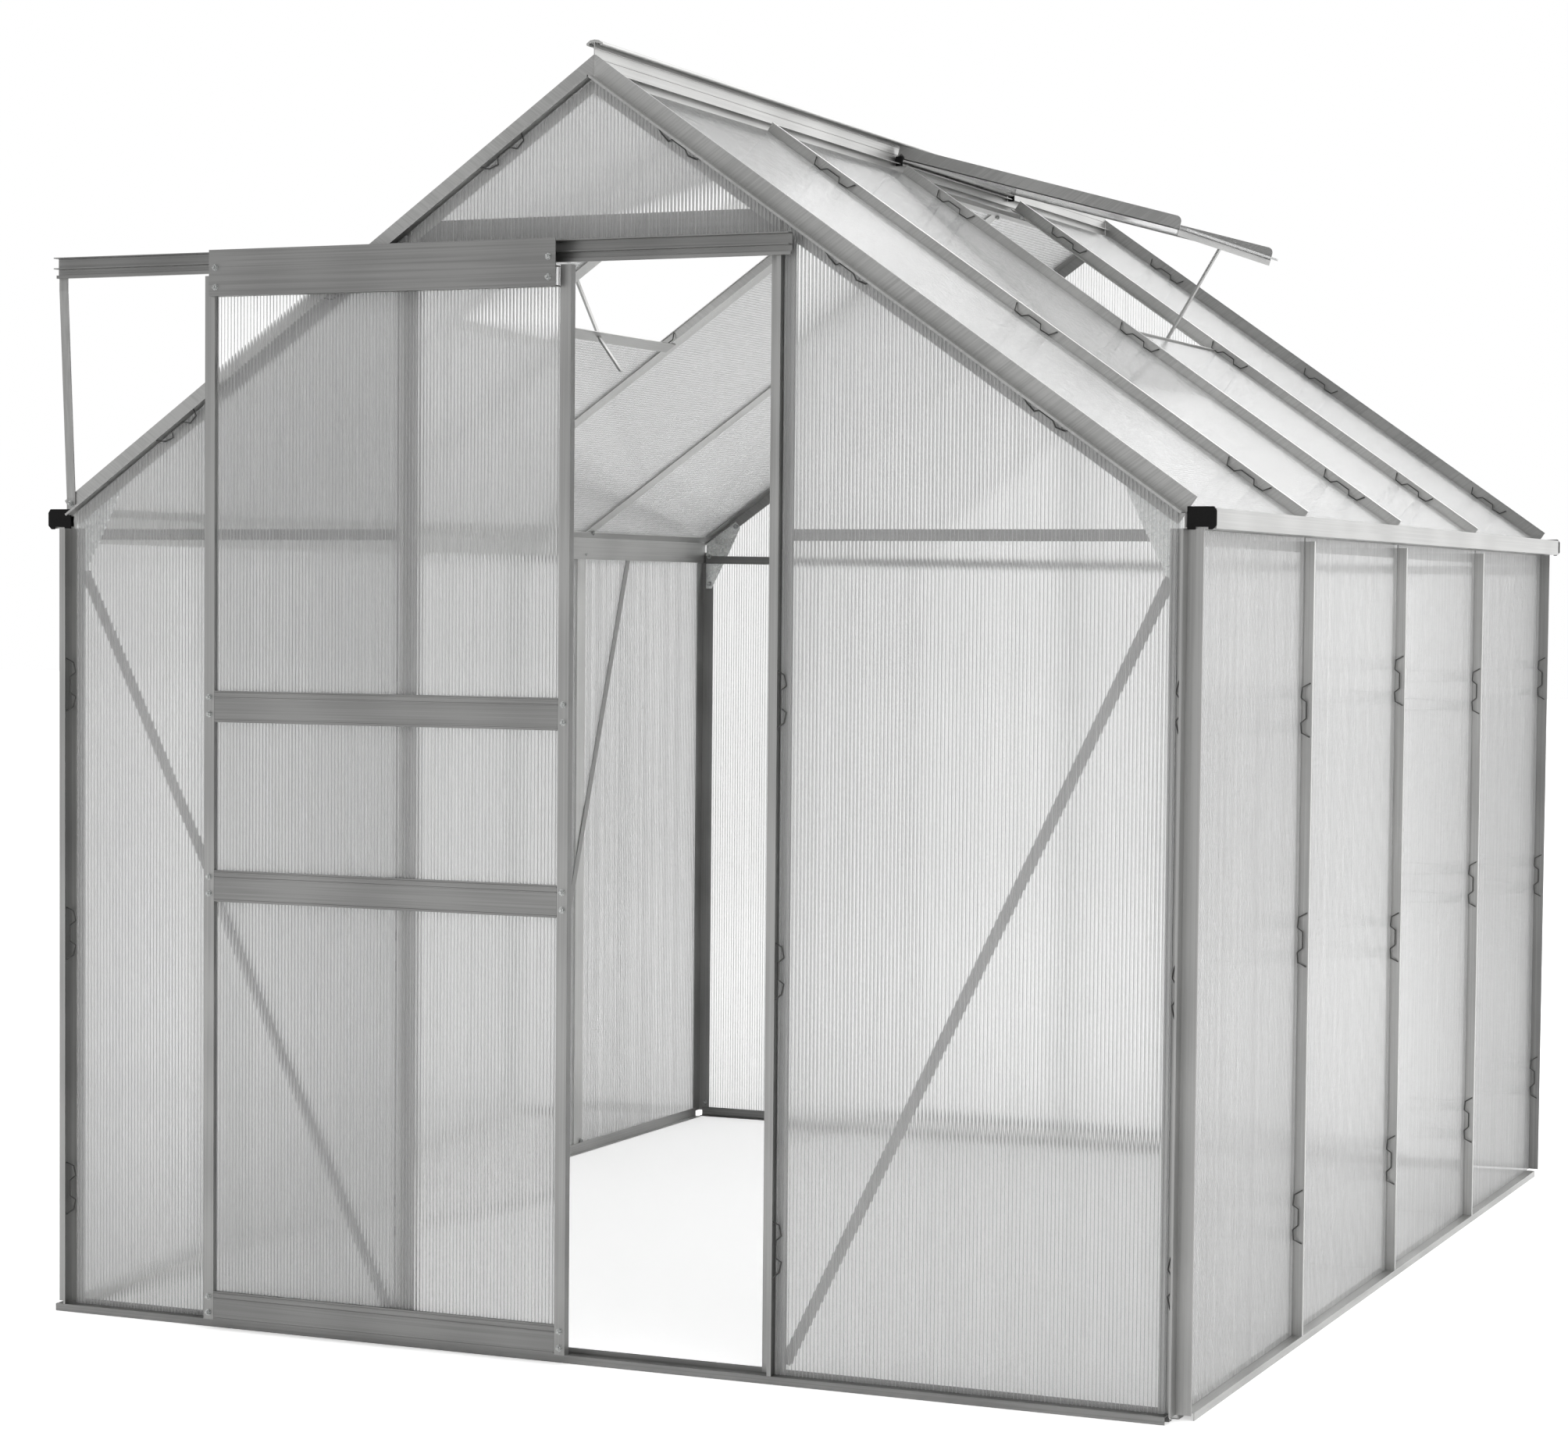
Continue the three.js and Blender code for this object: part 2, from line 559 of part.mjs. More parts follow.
for (const [side, way, bay, sill] of VENTS) {
  const barA = FRONT + (bay - 1) * PITCH;
  const barB = FRONT + bay * PITCH;
  const y0 = barA + VENT_SIDE_GAP;
  const y1 = barB - VENT_SIDE_GAP;
  const piece = (outline, from, to) =>
    alongY(
      outline.map((point) => ventPoint(way, point)),
      from,
      to,
    );
  const seat = rectangle(0, VENT_LENGTH, -METAL, 0);
  const sheet = rectangle(METAL, VENT_LENGTH + VENT_OVERHANG, -METAL / 8, SHEET);
  const [hookDepth, hookDrop, hookRise] = VENT_HOOK;
  add(
    side + "_roof_vent",
    join(
      piece(sheet, y0 + METAL / 2, y1 - METAL / 2),
      piece(ventFin, y0, y0 + METAL),
      piece(ventFin, y1 - METAL, y1),
      piece(seat, y0, y0 + VENT_SEAT),
      piece(seat, y1 - VENT_SEAT, y1),
      piece(rectangle(0, hookDepth, -hookDrop, hookRise), y0, y1),
      piece(rectangle(VENT_LENGTH - VENT_SEAT, VENT_LENGTH, -METAL, 0), y0, y1),
      piece(rectangle(VENT_LENGTH - METAL, VENT_LENGTH, -VENT_LIP, 0), y0, y1),
    ),
    mill,
  );

  // The bar under the free edge, with the stay that stands on it.
  const along = (s, w) => {
    const [x, , z] = onSlope(way, s, 0, w);
    return [x, z];
  };
  const barPiece = (s0, s1, w0, w1, from, to) =>
    alongY([along(s0, w0), along(s1, w0), along(s1, w1), along(s0, w1)], from, to);
  const [legUp, legDown] = VENT_SILL_LEG;
  const underBars = METAL / 2 + PLAY;
  const legTop = -BEHIND;
  const leg = barPiece(
    sill - legUp,
    sill + legDown,
    legTop - METAL,
    legTop,
    barA + underBars,
    barB - underBars,
  );
  const upstand = barPiece(
    sill - METAL,
    sill,
    legTop - METAL / 2,
    VENT_SILL_RISE,
    barA + BAR_SEAT + GAP,
    barB - BAR_SEAT - GAP,
  );
  const [standX, standZ] = along(sill - METAL - STAY_METAL, legTop);
  const [topX, topZ] = ventPoint(way, [VENT_LENGTH - STAY_TOP, -METAL - STAY_CLEAR]);
  const stayLength = Math.hypot(topX - standX, topZ - standZ);
  const stayAngle = Math.atan2(topZ - standZ, Math.abs(topX - standX));
  const stayAt = (up, across) => [
    standX + way * (up * Math.cos(stayAngle) + across * Math.sin(stayAngle)),
    standZ + up * Math.sin(stayAngle) - across * Math.cos(stayAngle),
  ];
  const tailAngle = stayAngle - STAY_BEND;
  const tailEnd = (across) => {
    const [x, z] = stayAt(-STAY_KNEE, across);
    return [x - way * STAY_TAIL * Math.cos(tailAngle), z - STAY_TAIL * Math.sin(tailAngle)];
  };
  const edge = STAY_METAL / 2;
  const stayOutline = [
    stayAt(stayLength, edge),
    stayAt(stayLength, -edge),
    stayAt(-STAY_KNEE, -edge),
    tailEnd(-edge),
    tailEnd(edge),
    stayAt(-STAY_KNEE, edge),
  ];
  const middle = (barA + barB) / 2;
  const stay = alongY(stayOutline, middle - STAY_WIDTH / 2, middle + STAY_WIDTH / 2);
  add(side + "_vent_sill_and_stay", join(leg, upstand, stay), mill);
}

// ---- wall sheets: one outline for each wall, slotted for the fins of its bars
const slotHalf = METAL / 2 + PLAY;
const sheetFront = FRONT + METAL + PLAY;
const sheetRear = REAR - METAL - PLAY;

for (const [side, way] of SIDES) {
  const slots = barYs.flatMap((y) => [
    [y - slotHalf, STAND],
    [y - slotHalf, SHEET_TOP - STRIP],
    [y + slotHalf, SHEET_TOP - STRIP],
    [y + slotHalf, STAND],
  ]);
  const outline = [
    [sheetFront, STAND],
    ...slots,
    [sheetRear, STAND],
    [sheetRear, SHEET_TOP],
    [sheetFront, SHEET_TOP],
  ];
  const x = [way * (HALF + GAP), way * (HALF + GAP + SHEET)].sort((a, b) => a - b);
  add(side + "_wall_sheets", acrossX(outline, ...x), glazing);
}

// ---- roof sheets: slotted for the bars, and shorter in the bay of the vent
const roofSheetFoot = alongSlope(HALF + SHEET_FOOT);

for (const [side, way, ventBay, ventSill] of VENTS) {
  const edges = [sheetFront, ...barYs.flatMap((y) => [y - slotHalf, y + slotHalf]), sheetRear];
  const tops = [];
  for (let bay = 1; bay <= BAYS; bay += 1) {
    const top = bay === ventBay ? ventSill + PLAY : BAR_TOP;
    const [from, to] = edges.slice(2 * bay - 2, 2 * bay);
    tops.push([from, top], [to, top]);
    if (bay < BAYS) tops.push([to, SLOPE_END + PLAY], [edges[2 * bay], SLOPE_END + PLAY]);
  }
  const outline = [...tops, [sheetRear, roofSheetFoot], [sheetFront, roofSheetFoot]];
  add(side + "_roof_sheets", slopeSheet(outline, way), glazing);
}

// ---- gable sheets
const sheetTop = (x) => seatHeight(x) - (METAL + PLAY) / COS;
const gableOuter = HALF - CORNER_MARGIN;
const gableInner = JAMB + slotHalf;
const frontSheet = [FRONT - GAP - SHEET, FRONT - GAP];
const rearSheet = [REAR + GAP, REAR + GAP + SHEET];

for (const [side, way] of SIDES) {
  const outline = [
    [gableInner, STAND],
    [gableOuter, STAND],
    [gableOuter, sheetTop(gableOuter)],
    [gableInner, sheetTop(gableInner)],
  ].map(([x, z]) => [way * x, z]);
  add("front_" + side + "_sheet", alongY(outline, ...frontSheet), glazing);
}

const overDoor = JAMB - slotHalf;
const overDoorOutline = [
  [-overDoor, HEAD_HEIGHT],
  [overDoor, HEAD_HEIGHT],
  [overDoor, sheetTop(overDoor)],
  [0, sheetTop(0)],
  [-overDoor, sheetTop(overDoor)],
];
add("gable_sheet", alongY(overDoorOutline, ...frontSheet), glazing);

const mullionTop = seatHeight(JAMB - LIP) - RAFTER_GABLE_SEAT / COS + PLAY;
const rearSlot = (x) => [
  [x - slotHalf, STAND],
  [x - slotHalf, mullionTop],
  [x + slotHalf, mullionTop],
  [x + slotHalf, STAND],
];
const rearOutline = [
  [-gableOuter, STAND],
  ...rearSlot(-JAMB),
  ...rearSlot(JAMB),
  [gableOuter, STAND],
  [gableOuter, sheetTop(gableOuter)],
  [0, sheetTop(0)],
  [-gableOuter, sheetTop(gableOuter)],
];
add("rear_sheets", alongY(rearOutline, ...rearSheet), glazing);

// ---- door track, and the strut at its free end, as (out in front of the gable's seat, up)
const inFront = (outline) => outline.map(([out, z]) => [FRONT - out, z]);
const trackBack = CORNER_FIN + GAP;
const trackFace = trackBack + METAL;
const trackEdge = trackBack + TRACK_REACH;
const [hookReach, hookHeight] = TRACK_HOOK;
const trackSection = inFront([
  [trackBack, TRACK_FOOT],
  [trackBack + hookReach, TRACK_FOOT],
  [trackBack + hookReach, TRACK_FOOT + hookHeight],
  [trackBack + hookReach - METAL, TRACK_FOOT + hookHeight],
  [trackBack + hookReach - METAL, TRACK_FOOT + METAL],
  [trackFace, TRACK_FOOT + METAL],
  [trackFace, TRACK_SHELF - METAL],
  [trackEdge, TRACK_SHELF - METAL],
  [trackEdge, TRACK_SHELF],
  [trackFace, TRACK_SHELF],
  [trackFace, TRACK_TOP - METAL],
  [trackEdge, TRACK_TOP - METAL],
  [trackEdge, TRACK_TOP],
  [trackBack, TRACK_TOP],
]);
const trackLeft = -HALF - TRACK_PAST;
add("door_track", acrossX(trackSection, trackLeft, JAMB + TRACK_RIGHT), mill);

const strutAtTrack = trackBack - GAP;
const strutFoot = seatHeight(trackLeft + STRUT) + STRUT_LIFT;
const strutSection = inFront([
  [GAP, strutFoot],
  [GAP + STRUT_METAL, strutFoot],
  [GAP + STRUT_METAL, strutFoot + STRUT_BOLTED],
  [strutAtTrack, STRUT_HEAD[0]],
  [strutAtTrack, STRUT_HEAD[1]],
  [strutAtTrack - STRUT_METAL, STRUT_HEAD[1]],
  [strutAtTrack - STRUT_METAL, STRUT_HEAD[0]],
  [GAP, strutFoot + STRUT_BOLTED],
]);
add("track_strut", acrossX(strutSection, trackLeft, trackLeft + STRUT), mill);

// ---- sliding door
const doorLeft = -DOOR_SHUT_LEFT - DOOR_OPEN;
const doorRight = doorLeft + DOOR_WIDTH;
const doorFront = DOOR_BACK + DOOR_DEPTH;
const [slotWidth, slotDepth] = SHEET_SLOT;
const slotBack = DOOR_SHEET_BACK - (slotWidth - SHEET) / 2;
const slotFront = slotBack + slotWidth;
const stileSection = [
  [0, DOOR_BACK],
  [STILE, DOOR_BACK],
  [STILE, slotBack],
  [STILE - slotDepth, slotBack],
  [STILE - slotDepth, slotFront],
  [STILE, slotFront],
  [STILE, doorFront],
  [0, doorFront],
];
for (const [side, edge, way] of [["left", doorLeft, 1], ["right", doorRight, -1]]) {
  const section = stileSection.map(([a, out]) => [edge + way * a, FRONT - out]);
  add("door_" + side + "_stile", upright(section, DOOR_FOOT, DOOR_TOP), mill, door);
}

const railLeft = doorLeft + STILE + GAP;
const railRight = doorRight - STILE - GAP;
const railBack = DOOR_SHEET_BACK + SHEET + GAP;
const doorRail = (z0, z1) => block(railLeft, railRight, FRONT - doorFront, FRONT - railBack, z0, z1);
add("door_lower_rail", doorRail(MID_RAILS[0], MID_RAILS[0] + MID_RAIL), mill, door);
add("door_upper_rail", doorRail(MID_RAILS[1], MID_RAILS[1] + MID_RAIL), mill, door);
const footSection = inFront([
  [DOOR_BACK, DOOR_FOOT],
  [doorFront, DOOR_FOOT],
  [doorFront, DOOR_FOOT + FOOT_RAIL],
  [railBack, DOOR_FOOT + FOOT_RAIL],
  [railBack, DOOR_FOOT + METAL],
  [DOOR_BACK, DOOR_FOOT + METAL],
]);
add("door_foot_rail", acrossX(footSection, railLeft, railRight), mill, door);

const sheetSide = STILE - slotDepth + GAP;
add(
  "door_sheet",
  block(
    doorLeft + sheetSide,
    doorRight - sheetSide,
    FRONT - DOOR_SHEET_BACK - SHEET,
    FRONT - DOOR_SHEET_BACK,
    DOOR_FOOT + METAL + GAP,
    DOOR_TOP - METAL,
  ),
  glazing,
  door,
);

// The hanger: a plate over the front of the track with a channel along its foot, and its two rollers.
const hangerBack = doorFront + GAP;
const hangerInner = HANGER_FRONT - HANGER_WALL;
const hangerBoxTop = HANGER_FOOT + HANGER_BOX;
const hangerSection = inFront([
  [hangerBack, HANGER_FOOT],
  [HANGER_FRONT, HANGER_FOOT],
  [HANGER_FRONT, HANGER_TOP],
  [hangerInner, HANGER_TOP],
  [hangerInner, hangerBoxTop],
  [hangerBack, hangerBoxTop],
  [hangerBack, hangerBoxTop - HANGER_WALL],
  [hangerInner, hangerBoxTop - HANGER_WALL],
  [hangerInner, HANGER_FOOT + HANGER_WALL],
  [hangerBack, HANGER_FOOT + HANGER_WALL],
]);
const rollerHeight = TRACK_SHELF + GAP + ROLLER;
const rollerMiddle = (trackFace + trackEdge) / 2;

function round(radius, x, out0, out1, sides) {
  const length = out1 - out0;
  return new THREE.CylinderGeometry(radius, radius, length, sides).translate(
    x,
    FRONT - (out0 + out1) / 2,
    rollerHeight,
  );
}

const rollers = [doorLeft + ROLLER_INSET, doorRight - ROLLER_INSET].flatMap((x) => [
  round(ROLLER, x, rollerMiddle - ROLLER_WIDTH / 2, rollerMiddle + ROLLER_WIDTH / 2, 20),
  round(AXLE, x, rollerMiddle, hangerInner + HANGER_WALL / 2, 10),
]);
const plate = acrossX(hangerSection, doorLeft + HANGER_INSET, doorRight - HANGER_INSET);
add("door_hanger", join(plate, ...rollers), mill, door);

export default greenhouse;
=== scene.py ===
# %% [markdown]
# # A walk-in greenhouse
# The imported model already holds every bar, sheet and plate at its real size. This script dresses it:
# the twin-wall sheets get ribs, the vents become a rail frame with a pane, and bolts, wire clips and
# gutter caps are added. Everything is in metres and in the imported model's own frame: X to the right, Y
# to the rear, Z up.

import math

import bmesh
import bpy
from mathutils import Matrix, Vector


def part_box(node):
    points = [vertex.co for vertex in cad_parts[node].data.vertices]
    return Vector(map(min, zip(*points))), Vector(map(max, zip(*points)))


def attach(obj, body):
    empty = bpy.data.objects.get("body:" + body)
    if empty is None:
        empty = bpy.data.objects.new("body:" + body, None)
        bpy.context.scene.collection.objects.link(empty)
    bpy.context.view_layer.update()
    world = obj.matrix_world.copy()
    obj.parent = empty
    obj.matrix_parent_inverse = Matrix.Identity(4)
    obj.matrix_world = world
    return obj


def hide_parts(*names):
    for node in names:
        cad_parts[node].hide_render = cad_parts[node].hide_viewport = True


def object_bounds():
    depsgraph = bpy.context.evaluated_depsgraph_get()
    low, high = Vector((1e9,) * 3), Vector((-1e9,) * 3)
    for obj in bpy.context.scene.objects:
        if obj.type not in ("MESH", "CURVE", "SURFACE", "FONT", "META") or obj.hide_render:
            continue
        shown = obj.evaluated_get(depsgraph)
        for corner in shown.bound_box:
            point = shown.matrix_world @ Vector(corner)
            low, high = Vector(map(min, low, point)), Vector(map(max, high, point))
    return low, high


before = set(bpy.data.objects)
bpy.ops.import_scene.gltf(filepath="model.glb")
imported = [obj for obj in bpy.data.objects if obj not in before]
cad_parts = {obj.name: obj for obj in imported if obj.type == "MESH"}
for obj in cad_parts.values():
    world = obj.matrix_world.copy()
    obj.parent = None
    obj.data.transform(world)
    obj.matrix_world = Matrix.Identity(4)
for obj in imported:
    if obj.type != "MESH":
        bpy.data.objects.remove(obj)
cad_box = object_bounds()
print("packed nodes:", len(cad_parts))

# %% [markdown]
# ## Places taken from the model
# A maker measures everything from a few planes: the seats that the sheets lie on, the two gables, the
# foot and the eaves. They could be typed in again, but then a change of the design would leave the
# looks behind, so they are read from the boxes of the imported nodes.

# %% Planes and bar positions
METAL = 0.0016
SHEET = 0.004
GAP = 0.0003
BAR_ROOM = 0.003  # from the middle of a bar's fin to the sheet beside it
SIDES = (("left", -1), ("right", 1))
X, Y, Z = Vector((1, 0, 0)), Vector((0, 1, 0)), Vector((0, 0, 1))

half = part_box("right_wall_sheets")[0].x - GAP
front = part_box("front_right_sheet")[1].y + GAP
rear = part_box("rear_sheets")[0].y - GAP
post_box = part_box("front_right_corner_post")
eave = post_box[1].z + GAP
stand = post_box[0].z


def middle(node):
    low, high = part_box(node)
    return (low + high) / 2


bar_ys = [middle(f"right_wall_bar_{n}").y for n in (1, 2, 3)]
jamb = middle("right_door_jamb").x
print("between seats:", round(2 * half, 4), "x", round(rear - front, 4))
print("eaves at:", round(eave, 4))

# %% [markdown]
# ## The slope of the roof
# Both roof planes lean the same way off the ridge. The slope could be worked out from the eaves and the
# ridge, but the open vents lean differently and have no such pair of heights, so one helper reads the
# tilt of the broadest face of any node. A plane is then a normal and a distance from the origin.

# %% Roof planes


def broad_normal(node):
    """Outward normal of the broadest upward face of a node, and that face's distance from the origin."""
    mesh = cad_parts[node].data
    area = {}
    for face in mesh.polygons:
        if face.normal.z > 0.1:
            key = (*(round(c, 3) for c in face.normal), round(face.center.dot(face.normal), 4))
            area[key] = area.get(key, 0) + face.area
    *normal, distance = max(area, key=area.get)
    return Vector(normal).normalized(), distance


roof_normal, roof_top = broad_normal("right_roof_sheets")
slope = math.atan2(roof_normal.x, roof_normal.z)
ridge_seat = (roof_top - SHEET - GAP) / math.cos(slope)
print("slope:", round(math.degrees(slope), 2), "ridge seat:", round(ridge_seat, 4))


def normal_of(way, tilt=slope):
    return Vector((way * math.sin(tilt), 0, math.cos(tilt)))


def down_of(way, tilt=slope):
    return Vector((way * math.cos(tilt), 0, -math.sin(tilt)))


def seat_height(x):
    return ridge_seat - abs(x) * math.tan(slope)


def on_roof(way, s, y, lift=0.0):
    """A point s down the slope from the ridge, and lifted off the seat."""
    return Vector((0, y, ridge_seat)) + down_of(way) * s + normal_of(way) * lift


# %% [markdown]
# ## Shading helpers
# A finish is a small tree of nodes. Each node could be made, set and linked in separate lines, as a
# recorded click path would. The helpers do all three in one line, so that each material below reads as
# a list of what it is made of.

# %% Node helpers


def node(tree, kind, values=None, **settings):
    made = tree.nodes.new("ShaderNode" + kind)
    for key, value in settings.items():
        setattr(made, key, value)
    for key, value in (values or {}).items():
        if isinstance(value, bpy.types.NodeSocket):
            tree.links.new(value, made.inputs[key])
        else:
            made.inputs[key].default_value = value
    return made


def spread(tree, mask, low, high):
    """A mask from 0 to 1 spread between two values."""
    return node(tree, "MapRange", {"Value": mask, "To Min": low, "To Max": high}).outputs["Result"]


def blend_colours(tree, mask, first, second):
    mix = node(tree, "Mix", data_type="RGBA")
    tree.links.new(mask, mix.inputs["Factor"])
    mix.inputs["A"].default_value = (*first, 1)
    mix.inputs["B"].default_value = (*second, 1)
    return next(out for out in mix.outputs if out.type == "RGBA")


def new_group(name, takes, gives):
    tree = bpy.data.node_groups.new(name, "ShaderNodeTree")
    for socket, kind, value in takes:
        made = tree.interface.new_socket(socket, in_out="INPUT", socket_type="NodeSocket" + kind)
        if value is not None:
            made.default_value = value
    for socket in gives:
        tree.interface.new_socket(socket, in_out="OUTPUT", socket_type="NodeSocketFloat")
    return tree, tree.nodes.new("NodeGroupInput").outputs, tree.nodes.new("NodeGroupOutput").inputs


def use_group(tree, group, values):
    made = tree.nodes.new("ShaderNodeGroup")
    made.node_tree = group
    for key, value in values.items():
        if isinstance(value, bpy.types.NodeSocket):
            tree.links.new(value, made.inputs[key])
        else:
            made.inputs[key].default_value = value
    return made.outputs


# %% [markdown]
# ## Streaks and clouds
# Drawn aluminium and extruded sheet share one trait: whatever varies, varies across the pull and hardly
# along it. A brushed picture could be wrapped round each bar, but it would need a seam on every one. A
# noise that is squeezed along Z has no seam, so one group makes it for both, with a soft cloud that has
# no direction.

# %% Group: pulled streaks
streaks, takes, gives = new_group(
    "pulled streaks",
    [
        ("Vector", "Vector", None),
        ("Per Metre", "Float", 400.0),
        ("Pull", "Float", 0.004),
        ("Cloud", "Float", 3.0),
    ],
    ["Streak", "Cloud"],
)
pulled = node(streaks, "CombineXYZ", {"X": 1.0, "Y": 1.0, "Z": takes["Pull"]})
squeezed = node(streaks, "VectorMath", {0: takes["Vector"], 1: pulled.outputs[0]}, operation="MULTIPLY")
fine = node(
    streaks,
    "TexNoise",
    {"Vector": squeezed.outputs[0], "Scale": takes["Per Metre"], "Detail": 0.0},
)
cloud = node(streaks, "TexNoise", {"Vector": takes["Vector"], "Scale": takes["Cloud"], "Detail": 0.0})
streaks.links.new(fine.outputs["Fac"], gives["Streak"])
streaks.links.new(cloud.outputs["Fac"], gives["Cloud"])
print("group:", streaks.name)

# %% [markdown]
# ## Bright speckle
# Zinc plate and plated bolts glitter because the coating froze in small flat crystals. A noise would
# only give soft clouds, while the cells of a Voronoi texture are such crystals: each has one value of
# its own, which can drive both shade and gloss. A fine noise adds the grain inside a crystal.

# %% Group: crystal speckle
speckle, takes, gives = new_group(
    "crystal speckle",
    [("Vector", "Vector", None), ("Scale", "Float", 250.0)],
    ["Cell", "Grain"],
)
cells = node(speckle, "TexVoronoi", {"Vector": takes["Vector"], "Scale": takes["Scale"]})
shade = node(speckle, "SeparateColor", {"Color": cells.outputs["Color"]})
grain = node(speckle, "TexNoise", {"Vector": takes["Vector"], "Scale": 1800.0, "Detail": 2.0})
speckle.links.new(shade.outputs["Red"], gives["Cell"])
speckle.links.new(grain.outputs["Fac"], gives["Grain"])
print("group:", speckle.name)


# %% [markdown]
# ## Aluminium
# Every bar is mill-finished aluminium, which weathers to a soft grey with faint lines along the draw.
# One material could serve all bars, but its lines would run across some of them. So there is one for
# each direction of draw: a Mapping node turns the pattern until the draw lies along Z. Each copy also
# has its own grey, which is painted light and shade: the bars of the walls and the roof are painted
# lighter than the door and the gables, as if more light fell on them, and the bars drawn across darkest.

# %% Principled material with a turned pattern


def start_material(name, metallic, roughness, turn=(0, 0, 0), ior=1.45):
    material = bpy.data.materials.new(name)
    material.use_nodes = True
    tree = material.node_tree
    shader = tree.nodes["Principled BSDF"]
    shader.inputs["Metallic"].default_value = metallic
    shader.inputs["Roughness"].default_value = roughness
    shader.inputs["IOR"].default_value = ior
    place = node(tree, "TexCoord").outputs["Object"]
    turned = node(tree, "Mapping", {"Vector": place, "Rotation": turn}).outputs["Vector"]
    return material, tree, shader, turned


def bump(tree, shader, height, strength, distance):
    made = node(tree, "Bump", {"Height": height, "Strength": strength, "Distance": distance})
    tree.links.new(made.outputs["Normal"], shader.inputs["Normal"])


# %% Aluminium for each direction of draw
QUARTER = math.pi / 2
WARMTH = 0.985  # how little blue the metal loses


def aluminium(name, turn=(0, 0, 0), dark=0.32, light=0.39):
    material, tree, shader, place = start_material(name, 1.0, 0.4, turn)
    out = use_group(tree, streaks, {"Vector": place, "Per Metre": 420.0, "Pull": 0.006, "Cloud": 7.0})
    both = node(tree, "Math", {0: out["Streak"], 1: out["Cloud"]}, operation="ADD")
    mask = node(tree, "MapRange", {"Value": both.outputs[0], "From Min": 0.75, "From Max": 1.25})
    shades = [(tone, tone, tone * WARMTH) for tone in (dark, light)]
    tree.links.new(blend_colours(tree, mask.outputs[0], *shades), shader.inputs["Base Color"])
    tree.links.new(spread(tree, out["Streak"], 0.34, 0.5), shader.inputs["Roughness"])
    bump(tree, shader, out["Streak"], 0.12, 0.0001)
    return material


# The grey level of each copy below is painted light and shade: lighter for bars that catch the light, darker
# for bars in shade.
pull_z = aluminium("aluminium drawn upright")
painted_light_z = aluminium("painted-light aluminium drawn upright", (0, 0, 0), 0.56, 0.66)
pull_y = aluminium("aluminium drawn along the length", (QUARTER, 0, 0), 0.44, 0.53)
pull_x = aluminium("aluminium drawn across", (0, QUARTER, 0), 0.24, 0.30)
pull_slope = {
    way: aluminium(f"aluminium drawn down the {side} slope", (0, -way * (QUARTER - slope), 0), 0.38, 0.46)
    for side, way in SIDES
}
painted_light_slope = {
    way: aluminium(
        f"pale aluminium drawn down the {side} slope", (0, -way * (QUARTER - slope), 0), 0.58, 0.68
    )
    for side, way in SIDES
}
print("aluminium finishes:", 4 + len(pull_slope) + len(painted_light_slope))

# %% [markdown]
# ## Zinc, wire and black plastic
# Gussets are zinc plate, smoother and brighter than drawn bar, and they show its crystals. Bolts are
# the same metal, small and a little darker. Clips are dark spring wire, and caps and stops are black
# moulded plastic with a fine grain. Four separate trees would be long, so one function takes what
# differs between them.

# %% Zinc, bolts, wire and plastic


def speckled(name, metallic, dark, light, smooth, rough, scale, ior=1.45):
    material, tree, shader, place = start_material(name, metallic, rough, ior=ior)
    out = use_group(tree, speckle, {"Vector": place, "Scale": scale})
    tree.links.new(blend_colours(tree, out["Cell"], dark, light), shader.inputs["Base Color"])
    tree.links.new(spread(tree, out["Cell"], smooth, rough), shader.inputs["Roughness"])
    bump(tree, shader, out["Grain"], 0.05, 0.0001)
    return material


# The darkest and the lightest crystal, the smoothest and the roughest, and how many to a metre.
zinc = speckled("zinc plate", 1.0, (0.84, 0.86, 0.86), (0.95, 0.96, 0.95), 0.2, 0.3, 180.0)
plated = speckled("plated bolt", 1.0, (0.32, 0.33, 0.33), (0.62, 0.63, 0.62), 0.18, 0.35, 700.0)
wire = speckled("spring wire", 1.0, (0.05, 0.05, 0.05), (0.13, 0.13, 0.125), 0.3, 0.5, 900.0)
soot = ((0.003, 0.003, 0.003), (0.008, 0.008, 0.008))
black = speckled("black moulded plastic", 0.0, *soot, 0.45, 0.65, 1200.0, ior=1.22)
print("small finishes:", zinc.name, plated.name, wire.name, black.name)

# %% [markdown]
# ## Ribbed bulge
# An extruded sheet shrinks as it cools and bulges a little between its ribs, on both faces at once.
# Each bulge is a long thin lens: what touches the sheet stays sharp but striped, and what stands
# further off is spread sideways until only its level lines are left. The bulge could be modelled, but
# it is a third of a millimetre high, so a group gives it as a height for bump. The sum of X and Y runs
# across the ribs on every sheet, since the other of the two doesn't change on it.

# %% Group: ribbed bulge
RIB_PITCH = 0.006

ribbed, takes, gives = new_group(
    "ribbed bulge",
    [("Vector", "Vector", None), ("Pitch", "Float", RIB_PITCH)],
    ["Bulge"],
)
parts = node(ribbed, "SeparateXYZ", {"Vector": takes["Vector"]})
across = node(ribbed, "Math", {0: parts.outputs["X"], 1: parts.outputs["Y"]}, operation="ADD")
ribs_passed = node(ribbed, "Math", {0: across.outputs[0], 1: takes["Pitch"]}, operation="DIVIDE")
angle = node(ribbed, "Math", {0: ribs_passed.outputs[0], 1: 2 * math.pi}, operation="MULTIPLY")
swing = node(ribbed, "Math", {0: angle.outputs[0]}, operation="COSINE")
raised = node(ribbed, "MapRange", {"Value": swing.outputs[0], "From Min": -1.0})
ribbed.links.new(raised.outputs[0], gives["Bulge"])
print("group:", ribbed.name, "every", RIB_PITCH)

# %% [markdown]
# ## Twin-wall sheet
# The sheet is clear plastic that bends light, with a share of plain white that makes it milky. Plain
# transparency would be quicker, but it can't bend what is seen through it. The ribs inside are a finer
# haze that varies from rib to rib, which draws the upright lines.

# %% Skins and ribs
PLASTIC_IOR = 1.45
MILKY_SHARE = 0.13
BULGE_HEIGHT = 0.0003
UNEVEN = 0.2  # share of the streaks in the bulge


